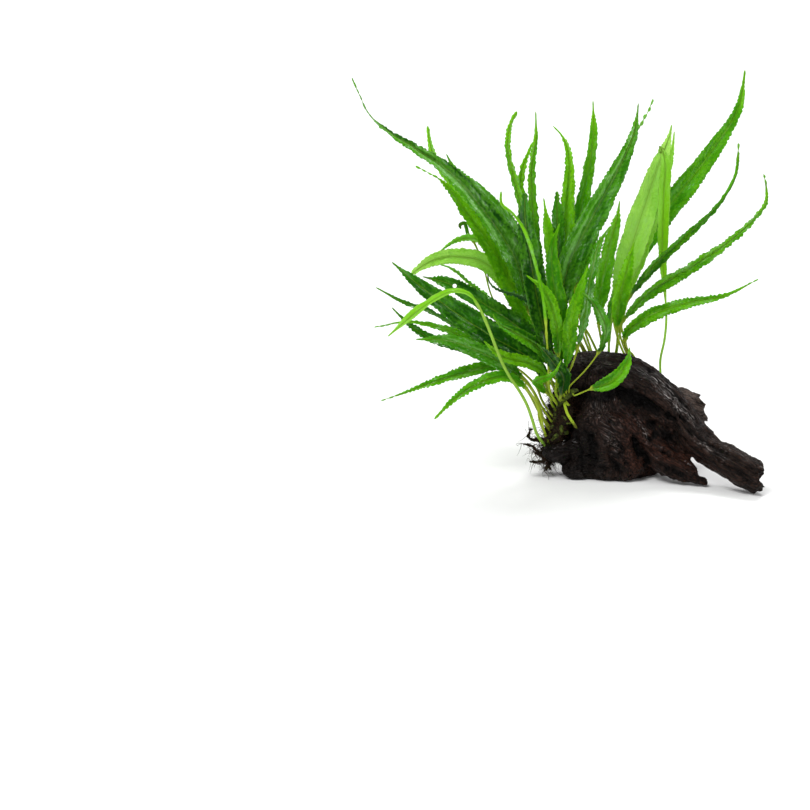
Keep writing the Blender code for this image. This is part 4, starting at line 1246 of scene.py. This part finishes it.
@dataclass
class Driftwood:
    """The weathered wood: trunk, two prongs and stub in one carved piece.

    Lengths are in millimetres. The `web` is a row of balls, each with its place across and up in the layout,
    its y and its radius. The streaks of the last table are glossy: a groove's depth there is how glossy the
    wood is, and how strongly its finish paints a pale highlight along it.
    """

    nodes: dict[str, Piece]
    eye: Eye
    box: Box
    voxel: float = 0.8
    swell: float = 0.2
    smoothing: int = 9
    cut_step: float = 0.8
    pit_spacing: float = 6.5
    parts: tuple[str, ...] = (
        "driftwood_trunk", "driftwood_long_prong", "driftwood_short_branch", "driftwood_back_stub",
    )
    grains: tuple[Grain, ...] = (
        Grain(
            ((-34, 6, 72), (-10.9, 6, 75), (8.8, 4, 73.4), (24.6, 2, 66.8), (40.2, -3, 55.7),
             (53.6, -10, 44.1), (64.5, -20, 32.3), (76.8, -33, 24.4), (89, -45, 19), (99.3, -55, 14.6),
             (114, -69, 9.5)),
            reddish=0.25, limb=1,
            end=((-14, 118), (-12, 120), (-8, 121), (-5, 118), (-3.5, 116.8), (-1.5, 115.4), (1, 116.5),
                 (3, 118.8), (8, 118.6), (11, 118), (14, 116)),
        ),
        Grain(((-6, 2, 70), (-4, 2, 45), (2, 0, 22), (4, 0, -4)), reddish=0.1),
        Grain(
            ((10, -6, 36), (24.1, -12, 27.3), (39.2, -21, 17.3), (52.2, -29, 11.3), (60.6, -34, 7.5),
             (70, -38, 5.5), (77, -41, 4.5)),
            reddish=0.75, limb=2,
            end=((-7, 77), (-4, 77.6), (-1, 76.5), (0.5, 75), (1.5, 70.5), (3, 69.2), (7, 68.5), (11, 66)),
        ),
        Grain(
            ((20, 8, 42), (41.5, 24, 45.3), (54.4, 31, 45.3), (63, 36, 42), (70, 39, 38), (76, 42, 34)),
            reddish=0.2, worn=0.80, limb=3,
            end=((36, 73), (38.5, 75.5), (41, 77.6), (45, 77.3), (49, 74), (52, 73.6), (55.5, 75.2), (58, 72),
                 (60.4, 70), (63, 72), (66, 71.5), (69, 66)),
        ),
        # The left nub: its negative worn makes it darker, as painted shade
        Grain(((-18, -8, 22), (-37.1, -12, 20.1), (-49, -13, 21.4)), reddish=0.1, worn=-0.60),
    )
    grooves: tuple[Groove, ...] = (
        Groove(((-28, 60), (-18, 62), (-8, 60), (4, 62), (14, 61), (26, 55), (38, 47), (46, 40)), 4.2, 2.8),
        Groove(((-26, 65), (-16, 66), (-4, 66.5), (8, 67.5), (20, 64), (32, 57), (44, 48)), 2.6, 2.4),
        Groove(((-24, 71), (-12, 72), (2, 72), (16, 70), (30, 63), (42, 54)), 3.0, -1.3),
        Groove(((22.7, 67.5), (25, 66)), 1.5, 2.6),
        Groove(((47, 46.5), (50.5, 43.5)), 2.0, 4.4),
        Groove(((57.5, 46.5), (61, 43.5)), 1.7, 3.2),
        Groove(((33, 41), (37, 38), (38, 33)), 2.6, 2.6),
        Groove(((40, 38), (44, 33), (49, 29), (57, 22)), 4.0, 2.6),
        Groove(((20, 33), (22.5, 27), (25.6, 21), (30, 14.5), (33, 8)), 2.6, 4.0),
        Groove(((-17, 36), (-13, 31), (-10, 24), (-9, 16), (-6, 8)), 2.8, 3.0),
        Groove(((4, 18), (8, 11), (10, 3)), 2.4, 3.0),
        Groove(((-20, 18), (-17, 10), (-15, 4)), 2.2, 2.4),
        Groove(((33, 30), (34.5, 29)), 1.3, 2.6),
        Groove(((44, 19.5), (48, 17.5)), 1.3, 2.0),
        Groove(((16, 30), (19, 21), (22, 11), (25, 5)), 3.4, -2.2),
        Groove(((-4, 30), (-1, 19), (2, 8)), 3.2, -1.8),
        Groove(((24, 30), (34, 22), (46, 14), (58, 6)), 2.6, -1.2),
        Groove(((14, 58), (28, 50), (40, 43), (54, 36), (68, 25), (82, 14)), 2.0, -1.4),
        Groove(((-12, 78), (6, 80), (22, 76), (36, 68), (50, 56), (62, 44)), 1.4, 1.2),
        Groove(((58, 40), (72, 30), (86, 21), (100, 12), (112, 4)), 1.3, 1.4),
        Groove(((68, 24), (82, 16), (95, 7), (106, -2)), 1.2, 1.4),
        Groove(((60, 32), (74, 22), (90, 10)), 1.4, -0.9),
        Groove(((50, 28), (55, 24), (60, 19.5), (65, 15.5)), 3.5, -2.0),
        Groove(((-2, 28), (0, 18), (-1, 6)), 1.6, 1.6),
        Groove(((12, 28), (14, 18), (16, 6)), 1.6, 1.8),
        Groove(((-22, 34), (-20, 24), (-20, 12)), 1.8, 1.6),
    )
    web: tuple[tuple[float, float, float, float], ...] = (
        (50, 25, -14, 6), (54.5, 22, -18, 5), (59, 19, -21, 4), (62, 17, -23, 3),
    )
    # Glossy streaks; the finish also paints a pale highlight along them
    wet: tuple[Groove, ...] = (
        Groove(((22, 84), (31, 79.5), (40, 73.5), (48, 66), (56, 57.5), (63, 48), (70, 39)), 3.0, 1.0),
        Groove(((36, 70), (44, 64), (52, 56), (58, 49)), 1.6, 0.8),
        Groove(((-8, 84), (4, 86), (16, 84)), 2.0, 0.4),
        Groove(((24, 44), (30, 36), (33, 26)), 1.6, 0.5),
        Groove(((-12, 56), (-3, 50), (6, 43), (10, 36)), 7.0, 0.20),
        Groove(((0, 34), (6, 26), (8, 18)), 4.0, 0.3),
        Groove(((70, 28), (80, 21), (92, 13)), 1.6, 0.4),
    )

    def build(self) -> None:
        """Carves the wood from its solids."""
        wood = cast("driftwood_carved", [self.nodes[name] for name in self.parts])
        self._web(wood)
        recast(wood, self.swell, self.voxel, self.smoothing)
        points, normals = corners(wood), directions(wood)
        bearings = [self._bearing(points, grain) for grain in self.grains]
        away = np.column_stack([bearing.apart for bearing in bearings])
        weight = np.exp(-(away - away.min(axis=1, keepdims=True)) / 5.0)
        weight /= weight.sum(axis=1, keepdims=True)
        relief = self._relief(points, bearings, weight) - self._pits(points)
        for groove in self.grooves:
            relief -= self._cut(points, groove)
        floor = np.maximum(smoothstep(points[:, 2], 0.2, 2.5), 0.8 * (1 - np.abs(normals[:, 2])))
        moved = points + normals * (relief * floor - self.swell)[:, None]
        moved[:, 0] -= self._lost(moved, bearings, self._limbs(points))
        reshape(wood, self.box.hold(moved))
        places = np.stack([bearing.place for bearing in bearings], axis=1)
        paint(wood, "grain", places[np.arange(len(points)), away.argmin(axis=1)])
        # The finish darkens the hollows of this relief as painted shade and lightens its ridges a little as
        # painted highlight
        paint(wood, "relief", np.clip(relief / 1.6, -1.5, 1))
        paint(wood, "reddish", weight @ [grain.reddish for grain in self.grains])
        # Lighter where worn; darker on the left nub as painted shade, and darker towards the top of the hump
        worn = weight @ [grain.worn for grain in self.grains]
        paint(wood, "wear_and_shade", worn - 0.32 * smoothstep(points[:, 2], 48, 72))
        # Glossy streaks: clear coat there, and a painted pale highlight
        paint(wood, "wet", np.clip(sum(self._cut(points, streak) for streak in self.wet), 0, 1))
        hand_over(wood, WoodFinish().make(), "driftwood", *self.parts)

    def _web(self, wood: Piece) -> None:
        """Adds the wood that closes the crotch between the two prongs."""
        balls = []
        for across, up, back, radius in self.web:
            way = self.eye.ray(across, up)
            place = np.array(self.eye.place) + way * (back - self.eye.place[1]) / way[1]
            bpy.ops.mesh.primitive_ico_sphere_add(subdivisions=3, radius=radius * MM, location=place * MM)
            balls.append(bpy.context.object)
        choose(wood, *balls)
        bpy.ops.object.join()

    def _relief(self, points: Array, bearings: list[Bearing], weight: Array) -> Array:
        """How far the grain and the crust stand out, in millimetres.

        Args:
            points: The wood's vertices.
            bearings: The same in the frame of each grain line.
            weight: How much each line counts at each of them.

        Returns:
            The height at each vertex.
        """
        relief = np.zeros(len(points))
        for number, bearing in enumerate(bearings):
            g = bearing.place
            sway = lattice_noise(g / (20, 12, 12), 9)[:, None] * 0.5
            flutes = ridged(g / (60, 9, 9), number)
            ridges = ridged(g / (26, 3.4, 3.4) + sway, number + 10)
            threads = lattice_noise(g / (9, 1.5, 1.5), number + 20)
            relief += weight[:, number] * (0.7 * flutes + 0.9 * ridges + 0.55 * threads)
        relief += 0.7 * lattice_noise(points / 6.0, 40) + 0.45 * ridged(points / 3.1, 41)
        relief += 0.25 * lattice_noise(points / 1.6, 42)
        return relief - 0.3

    def _lost(self, moved: Array, bearings: list[Bearing], limb: Array) -> Array:
        """How far the broken ends hold each carved point of a limb back to the left, in millimetres."""
        across, up = self.eye.layout(moved)
        splinter = 0.9 * lattice_noise(moved / (9, 1.7, 1.7), 30) + 0.5 * lattice_noise(moved / 0.9, 31)
        back = np.zeros(len(moved))
        for grain, bearing in zip(self.grains, bearings):
            if grain.end:
                mine = smoothstep(bearing.left, 26.0, 16.0) * (limb == grain.limb)
                over = across + splinter - np.interp(up, *np.array(grain.end).T)
                back = np.maximum(back, mine * np.maximum(over, 0))
        return back

    def _limbs(self, points: Array) -> Array:
        """The number of the part that each point lies nearest to."""
        trees = []
        for name in self.parts:
            mesh = self.nodes[name].data
            places = [tuple(point) for point in corners(self.nodes[name])]
            trees.append(BVHTree.FromPolygons(places, [tuple(face.vertices) for face in mesh.polygons]))
        return np.array([[tree.find_nearest(point)[3] for tree in trees] for point in points]).argmin(axis=1)

    @staticmethod
    def _bearing(points: Array, grain: Grain) -> Bearing:
        """Where points lie from a grain line."""
        route = np.array(grain.route, float)
        knots = lengths_along(route)
        marks = np.linspace(0, knots[-1], 90)
        line = eased(knots, route, marks)
        tangents = unit(np.gradient(line, axis=0))
        first = unit(np.cross(tangents, [0.13, 0.97, 0.2]))
        second = np.cross(tangents, first)
        apart = np.linalg.norm(points[:, None] - line[None], axis=2)
        spot = apart.argmin(axis=1)
        away = points - line[spot]
        along = marks[spot] + (away * tangents[spot]).sum(axis=1)
        place = np.column_stack([along, (away * first[spot]).sum(axis=1), (away * second[spot]).sum(axis=1)])
        return Bearing(place, apart.min(axis=1), knots[-1] - along)

    def _cut(self, points: Array, groove: Groove) -> Array:
        """How deep a groove is at each point: uneven, and running out at both ends."""
        route = np.array(groove.route, float)
        knots = lengths_along(route)
        count = max(int(knots[-1] / self.cut_step), 4)
        flat = eased(knots, route, np.linspace(0, knots[-1], count))
        line = np.array([self.eye.touch(across, up, points) for across, up in flat])
        apart = np.linalg.norm(points[:, None] - line[None], axis=2)
        spot = apart.argmin(axis=1)
        away = apart.min(axis=1) + 0.45 * groove.radius * lattice_noise(points / (1.1 * groove.radius), 80)
        radius = groove.radius * (1 + 0.35 * lattice_noise(points / 5.0, 81))
        run = np.sin(math.pi * (spot + 0.5) / count) ** 0.5 if knots[-1] > 4 * groove.radius else 1.0
        return groove.depth * run * np.exp(-((np.maximum(away, 0) / radius) ** 2))

    def _pits(self, points: Array) -> Array:
        """Small holes strewn over the wood."""
        depth = np.zeros(len(points))
        size = self.pit_spacing
        cell = np.floor(points / size).astype(np.int64)
        for step in np.ndindex(3, 3, 3):
            home = cell + np.array(step) - 1
            place = [lattice_noise(home + 0.0, 50 + axis) for axis in range(4)]
            centre = (home + 0.5 + 0.42 * np.column_stack(place[:3])) * size
            away = np.linalg.norm(points - centre, axis=1)
            radius = 0.7 + 0.9 * np.clip(place[3], 0, 1)
            depth = np.maximum(depth, (place[3] > 0.15) * 1.5 * radius * np.exp(-((away / radius) ** 2)))
        return depth


# ---- rhizome and roots


RIND = BarkFinish(
    "rhizome_rind", dark=(0.016, 0.022, 0.004), light=(0.085, 0.125, 0.012), spots=(0.020, 0.009, 0.004),
    scale=420, roughness=0.5,
)
FIBRE = BarkFinish(
    "root_fibre", dark=(0.004, 0.002, 0.001), light=(0.022, 0.009, 0.004), spots=(0.080, 0.036, 0.014),
    scale=240, roughness=0.7,
)
FELT = BarkFinish(
    "root_felt", dark=(0.0015, 0.0008, 0.0004), light=(0.010, 0.005, 0.002), spots=(0.050, 0.034, 0.008),
    scale=300, roughness=0.7,
)


@dataclass
class Rhizome:
    """The creeping stem and its side shoot, in a knotty rind."""

    nodes: dict[str, Piece]
    box: Box
    stems: tuple[str, ...] = ("rhizome", "rhizome_side_shoot")
    voxel: float = 0.5
    smoothing: int = 4

    def build(self) -> Finish:
        """Makes both stems, and hands back their finish."""
        rind = RIND.make()
        for name in self.stems:
            stem = cast(f"{name}_rind", [self.nodes[name]])
            recast(stem, 0.0, self.voxel, self.smoothing)
            points = corners(stem)
            knots = 0.70 * ridged(points / 2.8, 60) + 0.35 * lattice_noise(points / 1.1, 61)
            raise_by(stem, knots, self.box)
            hand_over(stem, rind, "rhizome", name)
        return rind


@dataclass
class Roots:
    """The root mat: a felted core and the hairs that stand out of it.

    Lengths are in millimetres. A nub, one of the rhizome's knots that show through, has its place across
    and up in the layout and its size.
    """

    nodes: dict[str, Piece]
    box: Box
    eye: Eye
    rind: Finish
    swell: float = 0.25
    voxel: float = 0.45
    smoothing: int = 2
    hairs: int = 1700
    joints: int = 9
    length: tuple[float, float] = (3.0, 18.0)
    radius: tuple[float, float] = (0.09, 0.30)
    sunk: float = 0.4
    curl: float = 0.28
    droop: Point = (-0.04, 0.0, -0.10)
    clearance: float = 0.4
    nubs: tuple[Point, ...] = (
        (-32.5, 36.5, 2.1), (-36.5, 31.0, 2.3), (-26.0, 41.5, 1.6), (-24.0, 31.0, 2.2), (-38.0, 51.0, 1.4),
        (-30.5, 46.0, 1.3), (-40.5, 38.0, 1.5),
    )

    def build(self) -> None:
        """Makes the core and its hairs."""
        core = cast("root_core", [self.nodes["root_mat"]])
        recast(core, self.swell, self.voxel, self.smoothing)
        points = corners(core)
        felt = 0.55 * ridged(points / (1.7, 1.7, 3.2), 70) + 0.35 * lattice_noise(points / 0.8, 71)
        raise_by(core, felt, self.box)
        hand_over(core, FELT.make(), "roots", "root_mat")
        hand_over(self._swellings(corners(core)), self.rind, "rhizome")
        hand_over(self._grow(corners(core), directions(core)), FIBRE.make(), "roots")

    def _swellings(self, points: Array) -> Piece:
        """The rhizome's knots and cut stalk feet that show through the roots, in one mesh."""
        knots = []
        for number, (across, up, size) in enumerate(self.nubs):
            place = self.eye.touch(across, up, points) + self.eye.ray(across, up) * size * 0.4
            bpy.ops.mesh.primitive_ico_sphere_add(
                subdivisions=4, radius=size * MM, location=place * MM,
                rotation=(0.5 * number, 0.7 * number, 0.9 * number),
            )
            knots.append(bpy.context.object)
            knots[-1].scale = (0.8, 0.7, 2.0)
        choose(*knots)
        bpy.ops.object.join()
        bpy.ops.object.transform_apply(location=True, rotation=True, scale=True)
        knots[0].name = knots[0].data.name = "rhizome_knots"
        surface = corners(knots[0])
        dents = 0.7 * lattice_noise(surface / 1.8, 65) + 0.3 * lattice_noise(surface / 0.7, 66)
        raise_by(knots[0], dents, self.box)
        return knots[0]

    def _grow(self, points: Array, normals: Array) -> Piece:
        """Grows hairs from the core's vertices, along their normals, in one mesh."""
        rng = np.random.default_rng(SEED)
        bpy.ops.curve.primitive_nurbs_path_add()
        hair = bpy.context.object
        hair.name = hair.data.name = "root_hairs"
        hair.data.splines.clear()
        hair.data.dimensions = "3D"
        hair.data.bevel_depth = MM
        hair.data.bevel_resolution = 0
        hair.data.use_fill_caps = True
        for _ in range(self.hairs):
            start = rng.integers(len(points))
            place, way = points[start] - self.sunk * normals[start], normals[start]
            length = rng.uniform(*self.length) * rng.uniform(0.4, 1.0)
            thick = rng.uniform(*self.radius)
            bend = rng.normal(0, 0.25, 3)
            spline = hair.data.splines.new("POLY")
            spline.points.add(self.joints - 1)
            for joint in range(self.joints):
                spline.points[joint].co = (*(place * MM), 1.0)
                spline.points[joint].radius = thick * (1 - 0.75 * joint / (self.joints - 1))
                bend = 0.8 * bend + rng.normal(0, self.curl, 3)
                way = unit(way + bend + self.droop)
                place = place + way * length / (self.joints - 1)
                place = self.box.hold(place - (0, 0, self.clearance)) + (0, 0, self.clearance)
        choose(hair)
        bpy.ops.object.convert(target="MESH")
        return bpy.context.object


# ---- studio


@dataclass(frozen=True)
class Lamp:
    """A broad, far-off light, with its place in degrees: azimuth from the front, positive to the right."""

    name: str
    azimuth: float
    elevation: float
    strength: float
    breadth: float

    def build(self) -> None:
        """Hangs the light."""
        turn = (math.radians(90 - self.elevation), 0, math.radians(self.azimuth))
        bpy.ops.object.light_add(type="SUN", location=(0, 0, 1), rotation=turn)
        lamp = bpy.context.object
        lamp.name = lamp.data.name = self.name
        lamp.data.energy = self.strength
        lamp.data.angle = math.radians(self.breadth)


@dataclass
class Studio:
    """A pale floor, soft light, and the camera where the photograph was taken."""

    eye: Eye
    floor_reach: float = 30.0
    room_light: float = 0.5
    lamps: tuple[Lamp, ...] = (
        Lamp("key_light", -38, 52, 2.1, 28),
        Lamp("side_light", 62, 30, 0.8, 40),
        Lamp("back_light", 160, 58, 1.7, 22),
    )

    def build(self) -> None:
        """Sets floor, lights and camera."""
        self._floor()
        for lamp in self.lamps:
            lamp.build()
        self._world()
        self._camera()
        bpy.context.scene.view_settings.view_transform = "Standard"
        bpy.context.scene.view_settings.look = "None"

    def _floor(self) -> None:
        """A wide pale floor."""
        bpy.ops.mesh.primitive_plane_add(size=self.floor_reach * 2, location=(0, 0, 0))
        floor = bpy.context.object
        floor.name = floor.data.name = "studio_floor"
        shader = Shader("floor_white")
        skin = shader.skin({"Base Color": (0.82, 0.82, 0.82, 1), "Roughness": 0.9})
        floor.data.materials.append(shader.close(skin))
        floor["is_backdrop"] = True

    def _world(self) -> None:
        """An even white surrounding."""
        world = bpy.data.worlds.new("white_room")
        world.use_nodes = True
        background = world.node_tree.nodes["Background"]
        background.inputs["Color"].default_value = (1, 1, 1, 1)
        background.inputs["Strength"].default_value = self.room_light
        bpy.context.scene.world = world

    def _camera(self) -> None:
        """The camera at the eye's place."""
        lens = bpy.data.cameras.new("camera")
        lens.lens = self.eye.lens
        lens.sensor_width = 36.0
        lens.clip_end = 100.0
        camera = bpy.data.objects.new("camera", lens)
        camera.location = [value * MM for value in self.eye.place]
        camera.rotation_euler = (math.radians(90 - self.eye.tilt), 0, 0)
        bpy.context.scene.collection.objects.link(camera)
        bpy.context.scene.camera = camera


# ---- the whole


def box_of_all() -> list[list[float]]:
    """The whole object's lowest and highest corner."""
    return [list(corner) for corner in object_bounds()]


def main() -> None:
    """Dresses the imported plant."""
    logging.basicConfig(level=logging.INFO, format="%(name)s %(message)s")
    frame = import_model()
    solid_box, box = box_of_all(), Box.read()
    slots = {part["node"]: part["material_slot"] for part in frame["record"]["subparts"]}
    eye = Eye()
    Studio(eye).build()
    Driftwood(frame["nodes"], eye, box).build()
    rind = Rhizome(frame["nodes"], box).build()
    Roots(frame["nodes"], box, eye, rind).build()
    Foliage(frame["nodes"], slots, box).build()


if __name__ == "__main__":
    main()
